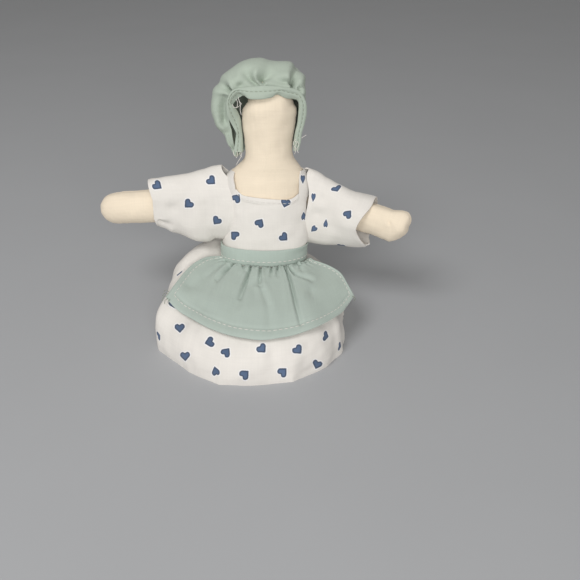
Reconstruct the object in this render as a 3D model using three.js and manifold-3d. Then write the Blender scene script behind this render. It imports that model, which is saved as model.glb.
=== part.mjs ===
// A small faceless rag doll sitting on the floor, dressed in a print dress, a gathered apron and a bonnet.
// Millimetres, +Z up. The doll faces -Y, its own right side is at -X. The origin is the middle of the flat
// place that it sits on.
import * as THREE from 'three';
import { mergeVertices } from 'three/addons/utils/BufferGeometryUtils.js';
import Module from 'manifold-3d';

const wasm = await Module();
wasm.setup();

const DEGREE = Math.PI / 180;

// Cloth and fit
const COTTON = 0.6;
const MUSLIN = 0.8;
const CLEARANCE = 0.3;

// Torso
const LEAN = 10 * DEGREE;
const TORSO_HEIGHT = 79;
const SHOULDER_HEIGHT = 66;
const SHOULDER_WIDTH = 36;
const CHEST_DEPTH = 18.6;
const WAIST_HEIGHT = 27;
const WAIST_WIDTH = 34.8;
const BELLY_DEPTH = 23.4;
const HIP_HEIGHT = 11;
const HIP_WIDTH = 37;
const HIP_DEPTH = 22;
const SEAT_SETBACK = 3.2;
const SEAT_FLAT = 0.5;
const SEAT_SQUARENESS = 0.5;
const SEAT_ROUNDNESS = 0.7;

// Head and neck
const HEAD_SHIFT = 1.5;
const HEAD_TOP = 109;
const HEAD_WIDTH = 26.6;
const HEAD_DEPTH = 21.6;
const BROW_HEIGHT = 98;
const NECK_WIDTH = 21.4;
const NECK_DEPTH = 18;
const NECK_DOME = 13;
const NECK_RISE = 4;
const NECK_BASE = TORSO_HEIGHT - NECK_RISE;
const NECK_SWING = 3;
const NECK_OVERLAP = 0.7;
const NECK_CURVE = 0.42;
const CHEEK_SHARE = 0.55;
const CROWN_SQUARENESS = 0.8;

// Arms
const ARM_HEIGHT = 53;
const ARM_ROOT = 6.2;
const ARM_SWELL = 7.8;
const HAND_RADIUS = 7.2;
const ARM_FLATTENING = 0.86;
const RIGHT_ARM = { name: 'right', side: -1, reach: 54, droop: 3.5 * DEGREE, forward: 0 };
const LEFT_ARM = { name: 'left', side: 1, reach: 46, droop: 10 * DEGREE, forward: 20 * DEGREE };
Object.assign(RIGHT_ARM, { sleeve: 28.7, cuffLift: 1.8 });
Object.assign(LEFT_ARM, { sleeve: 26, cuffLift: -1.2 });

// Legs
const LEG_SPACING = 17.4;
const LEG_ROOT = 7.1;
const LEG_SWELL = 7.3;
const FOOT_RADIUS = 6.6;
const LEG_REACH = 40.5;
const LEG_FLATTENING = 0.96;

// Bodice
const NECKLINE_HEIGHT = 55;
const BACK_NECKLINE_HEIGHT = 62;
const NECKLINE_WIDTH = 31;
const FACING_WIDTH = 2.6;

// Sleeves
const SLEEVE_ROOT_HEIGHT = 34;
const SLEEVE_ROOT_DEPTH = 13.4;
const SLEEVE_ROOT_DROP = 2;
const CUFF_HEIGHT = 21.2;
const CUFF_DEPTH = 18.6;
const SLEEVE_FOLD = 0.7;
const SLEEVE_FOLDS = 3;
const SLEEVE_TWIST = 2;
const SLEEVE_TUCK = 0.62;

// Skirt
const SKIRT_TOP = 24;
const SKIRT_LEDGE = 2.6;
const LEDGE_SHARE = 0.1;
const TOE_ROOM = 4;
const HEM_CENTRE = 13.2;
const HEM_SKEW = 3.4;
const HEM_NARROWING = 9;
const HEM_CORNER = { push: 6, at: -64, width: 12 };
const FEET_PUSH = 2.4;
const FEET_SPREAD = 17;
const TRAIN = 4;
const SKIRT_FOLDS = 11;
const SKIRT_FOLD = 1.5;
const SKIRT_FOLD_TURN = 0.6;
const FOLD_START = 0.17;
const FOLD_FULL = 0.8;
const LAP_SHARE = 0.5;
const BACK_SHARE = 0.3;
const LAP_RISE = 22;
const LAP_SLOPE = 3;
const BACK_RISE = 7;
const PUFF = { rise: 17, at: -118, width: 30 };
const SLUMP = { rise: 6, at: 125, width: 50 };
const HEM_BULGE = 2;
const SIDE_SEAM_GAP = 0.5;

// Apron
const BAND_WIDTH = 6.8;
const BAND_OPENING = 0.8;
const APRON_SPREAD = 84 * DEGREE;
const APRON_LENGTH = 0.66;
const APRON_CORNER = 0.1;
const APRON_FOLDS = 9;
const APRON_FOLD = 1.6;
const APRON_LOFT = 0.5;
const GATHER_START = 0.35;
const LOFT_START = 0.125;

// Bonnet
const BAND_STAND = 0.7;
const BAND_FORWARD = 0;
const BAND_REACH = 0.31;
const BAND_SHARE = 0.82;
const BROW_BAND = 7;
const BRIM = { drop: 4, back: 0.4, round: 3, temple: 2.4, tuck: 2, cheek: 2.2, low: 6, ear: 8, jaw: 9 };
Object.assign(BRIM, { nape: 8, napeTuck: 0.25, napeRise: 4, jawRise: 1, stand: 1 });
// How far the crown puffs out beside each place of the rim, and how far it spreads on the back of the head
const SWELL = {
  crest: { puff: 15, spread: 19 },
  rightTemple: { puff: 19, spread: 21 },
  rightEar: { puff: 12, spread: 20 },
  rightJaw: { puff: 7, spread: 15 },
  nape: { puff: 6, spread: 14 },
  leftJaw: { puff: 4, spread: 11 },
  leftEar: { puff: 5, spread: 14 },
  leftTemple: { puff: 14, spread: 17 },
};
const CAP_LOW = 76;
const CAP_BACK = 23;
const CAP_TILT = 2;
const CROWN_FOLDS = 10;
const CROWN_FOLD = 1.1;

// Facets: round each piece, then along it
const TORSO_SIDES = 20;
const HEAD_SIDES = 18;
const LIMB_SIDES = 12;
const CROWN_TURNS = [30, 55, 75];
const JOINT_TURNS = [0, 30, 60, 90];
const TIP_TURNS = [0, 35, 65, 90];
const BALL_GRID = [40, 28];
const SLEEVE_GRID = [20, 9];
const ARMHOLE_GRID = [20, 3];
const SKIRT_GRID = [26, 10];
const APRON_GRID = [36, 9];
const CROWN_GRID = [36, 9];
const BAND_GRID = [24, 2];
const SURFACE_GRID = [72, 12];

// Further than any piece reaches
const FAR = 200;

const mix = THREE.MathUtils.lerp;

// Materials
const cloth = (color, roughness) => new THREE.MeshStandardMaterial({ color, roughness, metalness: 0 });
const muslin = cloth(0xe8dcc6, 0.95);
const stuffing = cloth(0xf4f2ec, 1);
const printCotton = cloth(0xf1f0ee, 0.9);
const apronCotton = cloth(0xb4c4bb, 0.9);
const capCotton = cloth(0x93aaa0, 0.9);

// Solids for joining and cutting
function toSolid(geometry) {
  const bare = geometry.clone();
  bare.deleteAttribute('normal');
  bare.deleteAttribute('uv');
  const merged = mergeVertices(bare, 1e-4);
  return new wasm.Manifold(new wasm.Mesh({
    numProp: 3,
    vertProperties: new Float32Array(merged.attributes.position.array),
    triVerts: new Uint32Array(merged.index.array),
  }));
}

function toGeometry(solid) {
  const mesh = solid.getMesh();
  return closedGeometry(mesh.vertProperties, mesh.triVerts);
}

function closedGeometry(positions, triangles) {
  const geometry = new THREE.BufferGeometry();
  geometry.setAttribute('position', new THREE.BufferAttribute(new Float32Array(positions), 3));
  geometry.setIndex([...triangles]);
  geometry.computeVertexNormals();
  return geometry;
}

// A box between two corners
function block(low, high) {
  const size = high.map((value, axis) => value - low[axis]);
  const geometry = new THREE.BoxGeometry(...size);
  geometry.translate(...high.map((value, axis) => (value + low[axis]) / 2));
  return toSolid(geometry);
}

function ball(radius, centre) {
  const geometry = new THREE.SphereGeometry(radius, ...BALL_GRID);
  geometry.translate(...centre);
  return toSolid(geometry);
}

// Stuffed shapes. A station is [height, half width, half depth, shift to +X]. One of no width is a point.
function stationPoint([height, width, depth, shift = 0], angle) {
  return [shift + width * Math.sin(angle), -depth * Math.cos(angle), height];
}

function swollen(stations, offset) {
  const low = stations[0][0];
  const length = stations[stations.length - 1][0] - low;
  const stretch = (length + 2 * offset) / length;
  return stations.map(([height, width, depth, shift]) => {
    const grow = width > 0 ? offset : 0;
    return [low - offset + (height - low) * stretch, width + grow, depth + grow, shift];
  });
}

// A closed solid through rings of points. Its first and last rings are single points.
function loft(rings) {
  const positions = rings.flat(2);
  const sides = Math.max(...rings.map((ring) => ring.length));
  const triangles = [];
  let start = 0;
  for (let k = 0; k + 1 < rings.length; k += 1) {
    const [low, high] = [rings[k].length, rings[k + 1].length];
    const next = start + low;
    for (let i = 0; i < sides; i += 1) {
      if (low > 1) triangles.push(start + i, start + ((i + 1) % low), next + (i % high));
      if (high > 1) triangles.push(start + ((i + 1) % low), next + ((i + 1) % high), next + i);
    }
    start = next;
  }
  return toSolid(closedGeometry(positions, triangles));
}

function pillow(stations, sides, offset = 0) {
  return loft(swollen(stations, offset).map((station) => {
    const count = station[1] > 0 ? sides : 1;
    return Array.from({ length: count }, (_, i) => stationPoint(station, (i / sides) * 2 * Math.PI));
  }));
}

// A tube filled from end to end
function plug(point, columns, rows) {
  const rings = Array.from({ length: rows + 1 }, (_, j) => (
    Array.from({ length: columns }, (__, i) => point(i / columns, j / rows).toArray())
  ));
  const middle = (ring) => [0, 1, 2].map((axis) => ring.reduce((sum, p) => sum + p[axis], 0) / ring.length);
  return loft([[middle(rings[0])], ...rings, [middle(rings[rows])]]);
}

// The width and depth of a stuffed shape at any height
function stationAt(stations, height) {
  const next = Math.max(1, stations.findIndex((station) => station[0] >= height));
  const [low, high] = [stations[next - 1], stations[next]];
  const share = (height - low[0]) / (high[0] - low[0]);
  return [height, mix(low[1], high[1], share), mix(low[2], high[2], share)];
}

// Cloth as a thin solid. point(u, v) is its outer face. It may close round u, or come to a point at v = 1.
function sheet(point, columns, rows, { closed = false, pointed = false, thickness = COTTON } = {}) {
  const step = 1e-3;
  const width = closed ? columns : columns + 1;
  const normalAt = (u, v) => {
    const [u0, u1] = closed ? [u - step, u + step] : [Math.max(0, u - step), Math.min(1, u + step)];
    const across = point(u1, v).sub(point(u0, v));
    const along = point(u, Math.min(1, v + step)).sub(point(u, Math.max(0, v - step)));
    return across.cross(along).normalize();
  };
  const poleNormal = new THREE.Vector3();
  const outer = [];
  const inner = [];
  for (let i = 0; i < width; i += 1) {
    for (let j = 0; j <= rows; j += 1) {
      const [u, v] = [i / columns, j / rows];
      const normal = normalAt(u, pointed ? Math.min(v, 1 - 2 * step) : v);
      if (pointed && j === rows) poleNormal.add(normal);
      outer.push(point(u, v));
      inner.push(point(u, v).addScaledVector(normal, -thickness));
    }
  }
  if (pointed) inner[rows].copy(outer[rows]).addScaledVector(poleNormal.normalize(), -thickness);
  const index = (i, j) => (pointed && j === rows ? rows : (i % width) * (rows + 1) + j);
  const inside = (i, j) => outer.length + index(i, j);
  const triangles = [];
  const quad = (a, b, c, d) => {
    for (const corner of [[a, b, c], [a, c, d]]) {
      if (new Set(corner).size === 3) triangles.push(...corner);
    }
  };
  for (let i = 0; i < columns; i += 1) {
    for (let j = 0; j < rows; j += 1) {
      quad(index(i, j), index(i + 1, j), index(i + 1, j + 1), index(i, j + 1));
      quad(inside(i, j), inside(i, j + 1), inside(i + 1, j + 1), inside(i + 1, j));
    }
    quad(index(i + 1, 0), index(i, 0), inside(i, 0), inside(i + 1, 0));
    if (!pointed) quad(index(i, rows), index(i + 1, rows), inside(i + 1, rows), inside(i, rows));
  }
  for (let j = 0; j < rows && !closed; j += 1) {
    quad(index(0, j), index(0, j + 1), inside(0, j + 1), inside(0, j));
    quad(index(columns, j + 1), index(columns, j), inside(columns, j), inside(columns, j + 1));
  }
  const positions = [...outer, ...inner].flatMap((p) => p.toArray());
  return mergeVertices(closedGeometry(positions, triangles).deleteAttribute('normal'), 1e-5);
}

function bezier(points, t) {
  const curve = new THREE.CubicBezierCurve3(...points);
  return curve.getPoint(t);
}

function addMesh(group, name, geometry, material) {
  geometry.computeVertexNormals();
  const mesh = new THREE.Mesh(geometry, material);
  mesh.name = name;
  group.add(mesh);
}

// Stations of the torso: a rounded seat, a waist, square shoulders and a sloping neck
function torsoStations() {
  const seat = [30, 60].map((turn) => {
    const swell = Math.sin(turn * DEGREE);
    const height = HIP_HEIGHT * (1 - Math.cos(turn * DEGREE));
    return [height, (HIP_WIDTH / 2) * swell ** SEAT_SQUARENESS, (HIP_DEPTH / 2) * swell ** SEAT_ROUNDNESS];
  });
  const collar = NECK_BASE - NECK_SWING;
  const slope = (collar + SHOULDER_HEIGHT) / 2;
  const slopeWidth = mix(SHOULDER_WIDTH, NECK_WIDTH, NECK_CURVE) / 2;
  const chest = (WAIST_HEIGHT + SHOULDER_HEIGHT) / 2;
  return [
    [0, 0, 0],
    ...seat,
    [HIP_HEIGHT, HIP_WIDTH / 2, HIP_DEPTH / 2],
    [WAIST_HEIGHT, WAIST_WIDTH / 2, BELLY_DEPTH / 2],
    [chest, (WAIST_WIDTH + SHOULDER_WIDTH) / 4, BELLY_DEPTH / 2],
    [SHOULDER_HEIGHT, SHOULDER_WIDTH / 2, CHEST_DEPTH / 2],
    [slope, slopeWidth, (CHEST_DEPTH + NECK_DEPTH) / 4, HEAD_SHIFT / 2],
    [collar, NECK_WIDTH / 2, NECK_DEPTH / 2, HEAD_SHIFT],
    [NECK_BASE, NECK_WIDTH / 2, NECK_DEPTH / 2, HEAD_SHIFT],
    [TORSO_HEIGHT + NECK_DOME / 2, 0, 0, HEAD_SHIFT],
  ];
}

// Stations of the head, from inside the neck up to the rounded crown
function headStations() {
  const root = TORSO_HEIGHT - NECK_DOME * NECK_OVERLAP;
  const round = HEAD_TOP - BROW_HEIGHT;
  const crown = CROWN_TURNS.map((turn) => {
    const shrink = Math.cos(turn * DEGREE) ** CROWN_SQUARENESS;
    const height = BROW_HEIGHT + round * Math.sin(turn * DEGREE);
    return [height, (HEAD_WIDTH / 2) * shrink, (HEAD_DEPTH / 2) * shrink];
  });
  const cheek = mix(TORSO_HEIGHT, BROW_HEIGHT, CHEEK_SHARE);
  return [
    [root - CLEARANCE, 0, 0],
    [root, NECK_WIDTH / 2, NECK_DEPTH / 2],
    [TORSO_HEIGHT, NECK_WIDTH / 2, NECK_DEPTH / 2],
    [cheek, mix(NECK_WIDTH, HEAD_WIDTH, NECK_CURVE) / 2, (NECK_DEPTH + HEAD_DEPTH) / 4],
    [BROW_HEIGHT, HEAD_WIDTH / 2, HEAD_DEPTH / 2],
    ...crown,
    [HEAD_TOP, 0, 0],
  ];
}

// Stations of a limb: a ball at its joint, a swelling and a rounded end
function limbStations(root, swell, tip, reach, flattening) {
  const joint = JOINT_TURNS.map((turn) => (
    [-root * Math.cos(turn * DEGREE), root * Math.sin(turn * DEGREE)]
  ));
  const end = TIP_TURNS.map((turn) => [
    reach - tip * (1 - Math.sin(turn * DEGREE)),
    turn < 90 ? tip * Math.cos(turn * DEGREE) : 0,
  ]);
  const body = [[(reach - tip) / 2, swell]];
  return [...joint, ...body, ...end].map(([height, radius]) => [height, radius, radius * flattening]);
}

const TORSO = torsoStations();
const HEAD = headStations();

// The torso leans back about the seat, and everything sewn to it leans with it
const upright = new THREE.Group();
upright.position.set(0, -SEAT_SETBACK, -SEAT_FLAT);
upright.rotation.x = -LEAN;
upright.updateMatrix();
const toWorld = (x, y, z) => new THREE.Vector3(x, y, z).applyMatrix4(upright.matrix);

// Points all over the torso's skin
function torsoSurface() {
  const points = [];
  const [round, steps] = SURFACE_GRID;
  for (let k = 0; k + 1 < TORSO.length; k += 1) {
    for (let step = 0; step < steps; step += 1) {
      const station = [0, 1, 2].map((value) => mix(TORSO[k][value], TORSO[k + 1][value], step / steps));
      for (let i = 0; i < round; i += 1) {
        points.push(new THREE.Vector3(...stationPoint(station, (i / round) * 2 * Math.PI)));
      }
    }
  }
  return points;
}

// Slides a ball along a direction until it rests against the points, a clearance away
function restBall(points, from, direction, radius) {
  const reach = radius + CLEARANCE;
  let travel = -FAR;
  for (const point of points) {
    const offset = point.clone().sub(from);
    const along = offset.dot(direction);
    const aside = offset.lengthSq() - along * along;
    if (aside < reach * reach) travel = Math.max(travel, along + Math.sqrt(reach * reach - aside));
  }
  return from.clone().addScaledVector(direction, travel);
}

// A stuffed piece as two sewn panels and its filling, parted along the seam at local y = 0
function stuffedPiece(stations, sides, cut = (solid) => solid) {
  const skin = cut(pillow(stations, sides).subtract(pillow(stations, sides, -MUSLIN)));
  const seam = CLEARANCE / 2;
  return {
    near: toGeometry(skin.intersect(block([-FAR, -FAR, -FAR], [FAR, -seam, FAR]))),
    far: toGeometry(skin.intersect(block([-FAR, seam, -FAR], [FAR, FAR, FAR]))),
    filling: toGeometry(cut(pillow(stations, sides, -MUSLIN - CLEARANCE))),
  };
}

// Torso and head
const neckPivot = [HEAD_SHIFT, 0, TORSO_HEIGHT - NECK_DOME];

function neckGroove() {
  const half = NECK_WIDTH / 2 + 2 * CLEARANCE;
  const slot = block([HEAD_SHIFT - half, -FAR, NECK_BASE - NECK_SWING], [HEAD_SHIFT + half, FAR, FAR]);
  return slot.subtract(ball(NECK_DOME, neckPivot));
}

function addTorso(group) {
  const groove = neckGroove();
  const corner = new THREE.BoxGeometry(FAR, FAR, FAR);
  corner.translate(0, 0, -FAR / 2);
  corner.applyMatrix4(upright.matrix.clone().invert());
  const floor = toSolid(corner);
  const torso = stuffedPiece(TORSO, TORSO_SIDES, (solid) => solid.subtract(groove).subtract(floor));
  addMesh(group, 'torso_front', torso.near, muslin);
  addMesh(group, 'torso_back', torso.far, muslin);
  addMesh(group, 'torso_stuffing', torso.filling, stuffing);
}

function addHead(group) {
  const dome = ball(NECK_DOME + CLEARANCE, [0, 0, neckPivot[2]]);
  const head = stuffedPiece(HEAD, HEAD_SIDES, (solid) => solid.subtract(dome));
  const place = new THREE.Group();
  place.position.x = HEAD_SHIFT;
  addMesh(place, 'head_front', head.near, muslin);
  addMesh(place, 'head_back', head.far, muslin);
  addMesh(place, 'head_stuffing', head.filling, stuffing);
  group.add(place);
}

// Arms, hung at the shoulders. Local +Z runs out along the arm and local +X is its upper side.
function armPlace({ side, droop, forward }) {
  const outward = new THREE.Vector3(
    side * Math.cos(forward) * Math.cos(droop),
    -Math.sin(forward) * Math.cos(droop),
    -Math.sin(droop),
  );
  const up = new THREE.Vector3(0, 0, 1).addScaledVector(outward, -outward.z).normalize();
  const across = new THREE.Vector3().crossVectors(outward, up);
  const place = new THREE.Group();
  const sideways = new THREE.Vector3(side, 0, 0);
  place.position.copy(restBall(torsoSurface(), new THREE.Vector3(0, 0, ARM_HEIGHT), sideways, ARM_ROOT));
  place.quaternion.setFromRotationMatrix(new THREE.Matrix4().makeBasis(up, across, outward));
  place.updateMatrix();
  return place;
}

function addArm(place, { name, side, reach }) {
  const stations = limbStations(ARM_ROOT, ARM_SWELL, HAND_RADIUS, reach, ARM_FLATTENING);
  const arm = stuffedPiece(stations, LIMB_SIDES);
  const [front, back] = side < 0 ? [arm.near, arm.far] : [arm.far, arm.near];
  addMesh(place, `${name}_arm_front`, front, muslin);
  addMesh(place, `${name}_arm_back`, back, muslin);
  addMesh(place, `${name}_arm_stuffing`, arm.filling, stuffing);
}

// Legs, stretched forward from the hips. Local +Z runs out along the leg and local +Y is its upper side.
function legPlace(side) {
  const place = new THREE.Group();
  const points = torsoSurface().map((point) => point.applyMatrix4(upright.matrix));
  const from = new THREE.Vector3((side * LEG_SPACING) / 2, 0, LEG_SWELL * LEG_FLATTENING + CLEARANCE);
  place.position.copy(restBall(points, from, new THREE.Vector3(0, -1, 0), LEG_ROOT));
  place.rotation.x = Math.PI / 2;
  return place;
}

function addLeg(place, name) {
  const stations = limbStations(LEG_ROOT, LEG_SWELL, FOOT_RADIUS, LEG_REACH, LEG_FLATTENING);
  const leg = stuffedPiece(stations, LIMB_SIDES);
  addMesh(place, `${name}_leg_front`, leg.far, muslin);
  addMesh(place, `${name}_leg_back`, leg.near, muslin);
  addMesh(place, `${name}_leg_stuffing`, leg.filling, stuffing);
}

// Layers over the torso, counted outward from its skin
const BODICE_INSIDE = CLEARANCE;
const BODICE_OUTSIDE = BODICE_INSIDE + COTTON;
const TRIM_INSIDE = BODICE_OUTSIDE + CLEARANCE;
const TRIM_OUTSIDE = TRIM_INSIDE + COTTON;
const BAND_BOTTOM = SKIRT_TOP + 2 * COTTON + 2 * CLEARANCE;
const SLEEVE_ROOT = -SLEEVE_TUCK * (SHOULDER_WIDTH / 2 + ARM_ROOT);

function torsoLayer(inside, outside) {
  return pillow(TORSO, TORSO_SIDES, outside).subtract(pillow(TORSO, TORSO_SIDES, inside));
}

// Sleeves, as tubes round the arms, wide where they are sewn to the bodice. The end at the bodice points
// straight at its side, whichever way the arm is held.
function sleeveTube({ side, forward, sleeve, cuffLift }, to, inset) {
  return (u, v) => {
    const along = mix(SLEEVE_ROOT, to, v);
    const share = (along + ARM_ROOT) / (sleeve + ARM_ROOT);
    const angle = u * 2 * Math.PI;
    const swing = Math.cos(SLEEVE_FOLDS * angle + SLEEVE_TWIST * share);
    const fold = SLEEVE_FOLD * swing * Math.max(0, along / sleeve);
    const height = mix(SLEEVE_ROOT_HEIGHT, CUFF_HEIGHT, share) / 2 + fold - inset;
    const depth = mix(SLEEVE_ROOT_DEPTH, CUFF_DEPTH, share) / 2 + fold - inset;
    const centre = mix(-SLEEVE_ROOT_DROP, cuffLift, share);
    const bend = -side * Math.min(0, along) * Math.tan(forward);
    return new THREE.Vector3(centre + height * Math.cos(angle), bend + depth * Math.sin(angle), along);
  };
}

function addSleeve(place, arm) {
  const tube = toSolid(sheet(sleeveTube(arm, arm.sleeve, 0), ...SLEEVE_GRID, { closed: true }));
  const body = pillow(TORSO, TORSO_SIDES, TRIM_INSIDE);
  const cut = tube.transform(place.matrix.toArray()).subtract(body);
  const geometry = toGeometry(cut);
  geometry.applyMatrix4(place.matrix.clone().invert());
  addMesh(place, `${arm.name}_sleeve`, geometry, printCotton);
}

// The hole in the bodice that a sleeve is sewn round
function armhole(place, arm) {
  return plug(sleeveTube(arm, 0, 2 * COTTON), ...ARMHOLE_GRID).transform(place.matrix.toArray());
}

// Bodice of the dress, with its square neckline
function addBodice(group, places) {
  let shell = torsoLayer(BODICE_INSIDE, BODICE_OUTSIDE);
  shell = shell.intersect(block([-FAR, -FAR, SKIRT_TOP + CLEARANCE], [FAR, FAR, FAR]));
  for (const [place, arm] of places) {
    shell = shell.subtract(armhole(place, arm));
  }
  const half = NECKLINE_WIDTH / 2;
  const seam = CLEARANCE / 2;
  const frontNeck = block([-half, -FAR, NECKLINE_HEIGHT], [half, FAR, FAR]);
  const backNeck = block([-half, -FAR, BACK_NECKLINE_HEIGHT], [half, FAR, FAR]);
  const front = shell.intersect(block([-FAR, -FAR, -FAR], [FAR, -seam, FAR])).subtract(frontNeck);
  const back = shell.intersect(block([-FAR, seam, -FAR], [FAR, FAR, FAR])).subtract(backNeck);
  addMesh(group, 'bodice_front', toGeometry(front), printCotton);
  addMesh(group, 'bodice_back', toGeometry(back), printCotton);
  const end = half - COTTON;
  const strip = block([-end, -FAR, NECKLINE_HEIGHT - FACING_WIDTH], [end, 0, NECKLINE_HEIGHT]);
  const facing = torsoLayer(TRIM_INSIDE, TRIM_OUTSIDE).intersect(strip);
  addMesh(group, 'neckline_facing', toGeometry(facing), printCotton);
}

// Waistband of the apron, a ring that closes at the back
function addWaistband(group) {
  const ring = block([-FAR, -FAR, BAND_BOTTOM], [FAR, FAR, BAND_BOTTOM + BAND_WIDTH]);
  const opening = block([-BAND_OPENING / 2, 0, -FAR], [BAND_OPENING / 2, FAR, FAR]);
  const band = torsoLayer(TRIM_INSIDE, TRIM_OUTSIDE).intersect(ring).subtract(opening);
  addMesh(group, 'apron_waistband', toGeometry(band), apronCotton);
}

// Skirt, from the waist over the lap to the hem on the floor. theta is 0 at the front and grows towards +X.
function bump(theta, { at, width }) {
  const away = theta - at * DEGREE;
  return Math.exp(-((Math.atan2(Math.sin(away), Math.cos(away)) / (width * DEGREE)) ** 2));
}

function hemPoint(theta, hip) {
  const front = -hip.y + LEG_REACH + TOE_ROOM - HEM_CENTRE;
  const foot = (side) => bump(theta, { at: side * FEET_SPREAD, width: FEET_SPREAD });
  const feet = FEET_PUSH * (foot(-1) + foot(1) - 0.5);
  const corner = HEM_CORNER.push * bump(theta, HEM_CORNER);
  const train = (TRAIN * (1 - Math.cos(theta))) / 2;
  const sides = HEM_SKEW * Math.sin(theta) + HEM_NARROWING * Math.sin(theta) ** 4;
  const radius = front - sides + feet + corner + train;
  return new THREE.Vector3(radius * Math.sin(theta), -HEM_CENTRE - radius * Math.cos(theta), 0);
}

// The skirt rolls from the waist over the lap and drops to the hem. It puffs up at the right hip and slumps
// behind the left one.
function skirtPoint(theta, v, hip) {
  const [, width, depth] = stationAt(TORSO, SKIRT_TOP);
  const aside = [Math.sin(theta), -Math.cos(theta)];
  const edge = [(width + BODICE_INSIDE) * aside[0], (depth + BODICE_INSIDE) * aside[1]];
  const waist = toWorld(edge[0], edge[1], SKIRT_TOP);
  const ledge = toWorld(edge[0] + SKIRT_LEDGE * aside[0], edge[1] + SKIRT_LEDGE * aside[1], SKIRT_TOP);
  if (v < LEDGE_SHARE) return waist.lerp(ledge, v / LEDGE_SHARE);
  const hem = hemPoint(theta, hip);
  const out = new THREE.Vector3(hem.x - ledge.x, hem.y - ledge.y, 0);
  const reach = out.length();
  out.normalize();
  const behind = THREE.MathUtils.smoothstep(-Math.cos(theta), -0.1, 0.8);
  const slump = bump(theta, SLUMP);
  const over = ledge.clone().addScaledVector(out, reach * mix(LAP_SHARE, BACK_SHARE, behind));
  over.z += BACK_RISE * behind * (1 - slump) + PUFF.rise * bump(theta, PUFF) - LAP_SLOPE * (1 - behind);
  const drop = hem.clone().addScaledVector(out, HEM_BULGE);
  drop.z = mix(LAP_RISE, SLUMP.rise, slump);
  const t = (v - LEDGE_SHARE) / (1 - LEDGE_SHARE);
  const point = bezier([ledge, over, drop, hem], t);
  const swing = (1 + Math.cos(SKIRT_FOLDS * theta + SKIRT_FOLD_TURN)) / 2;
  const fold = SKIRT_FOLD * swing * Math.sin((Math.PI / 2) * Math.min(1, t / FOLD_FULL));
  point.addScaledVector(out, fold * t);
  point.z += fold * (1 - t) * Math.min(1, t / FOLD_START);
  return point;
}

function skirtNormal(theta, v, hip) {
  const step = 1e-3;
  const across = skirtPoint(theta + step, v, hip).sub(skirtPoint(theta - step, v, hip));
  const along = skirtPoint(theta, v + step, hip).sub(skirtPoint(theta, Math.max(0, v - step), hip));
  return along.cross(across).normalize();
}

function addSkirt(group, hip) {
  const hemRadius = hemPoint(Math.PI / 2, hip).x;
  const panel = (middle) => (u, v) => {
    const gap = SIDE_SEAM_GAP / mix(WAIST_WIDTH / 2, hemRadius, v);
    return skirtPoint(middle + (0.5 - u) * (Math.PI - gap), v, hip);
  };
  addMesh(group, 'skirt_front', sheet(panel(0), ...SKIRT_GRID), printCotton);
  addMesh(group, 'skirt_back', sheet(panel(Math.PI), ...SKIRT_GRID), printCotton);
}

// Apron skirt, gathered under the waistband and lying on the skirt
function addApron(group, hip) {
  const lift = COTTON + CLEARANCE;
  const start = (LEDGE_SHARE * (TRIM_INSIDE + CLEARANCE / 2 - BODICE_INSIDE)) / SKIRT_LEDGE;
  const point = (u, v) => {
    const share = 1 - 2 * u;
    const theta = share * APRON_SPREAD;
    const down = mix(start, APRON_LENGTH * (1 - APRON_CORNER * share ** 4), v);
    const swing = (1 + Math.cos(APRON_FOLDS * theta)) / 2;
    const gather = Math.min(1, v / GATHER_START) ** 2;
    const loft = lift + APRON_LOFT * Math.min(1, v / LOFT_START) + APRON_FOLD * swing * gather;
    return skirtPoint(theta, down, hip).addScaledVector(skirtNormal(theta, down, hip), loft);
  };
  addMesh(group, 'apron_skirt', sheet(point, ...APRON_GRID), apronCotton);
}

// Bonnet. The opening runs round the head through these places, each with how far the crown puffs out there
// and how far it spreads on the back of the head.
function bonnetOpening() {
  const side = HEAD_WIDTH / 2 + BAND_STAND + COTTON;
  const brow = -HEAD_DEPTH / 2;
  const nape = NECK_DEPTH / 2 - BRIM.napeTuck;
  const crest = HEAD_TOP - BRIM.drop;
  const place = (x, y, z, swell) => ({ rim: [x, y, z], swell: [swell.puff, swell.spread, 0] });
  return [
    place(0, brow + BRIM.back, crest, SWELL.crest),
    place(BRIM.temple - side, brow + BRIM.tuck, crest - BRIM.round, SWELL.rightTemple),
    place(-BRIM.cheek - side, brow + BRIM.ear, BROW_HEIGHT - BRIM.low, SWELL.rightEar),
    place(-side, brow + BRIM.jaw, CAP_LOW, SWELL.rightJaw),
    place(BRIM.nape - side, nape, CAP_LOW + BRIM.napeRise, SWELL.nape),
    place(side - BRIM.nape, nape, CAP_LOW + BRIM.napeRise, SWELL.nape),
    place(side, brow + BRIM.jaw, CAP_LOW + BRIM.jawRise, SWELL.leftJaw),
    place(side, brow + BRIM.ear, BROW_HEIGHT - BRIM.low, SWELL.leftEar),
    place(side - BRIM.temple, brow + BRIM.tuck, crest - BRIM.round, SWELL.leftTemple),
  ];
}

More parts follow.
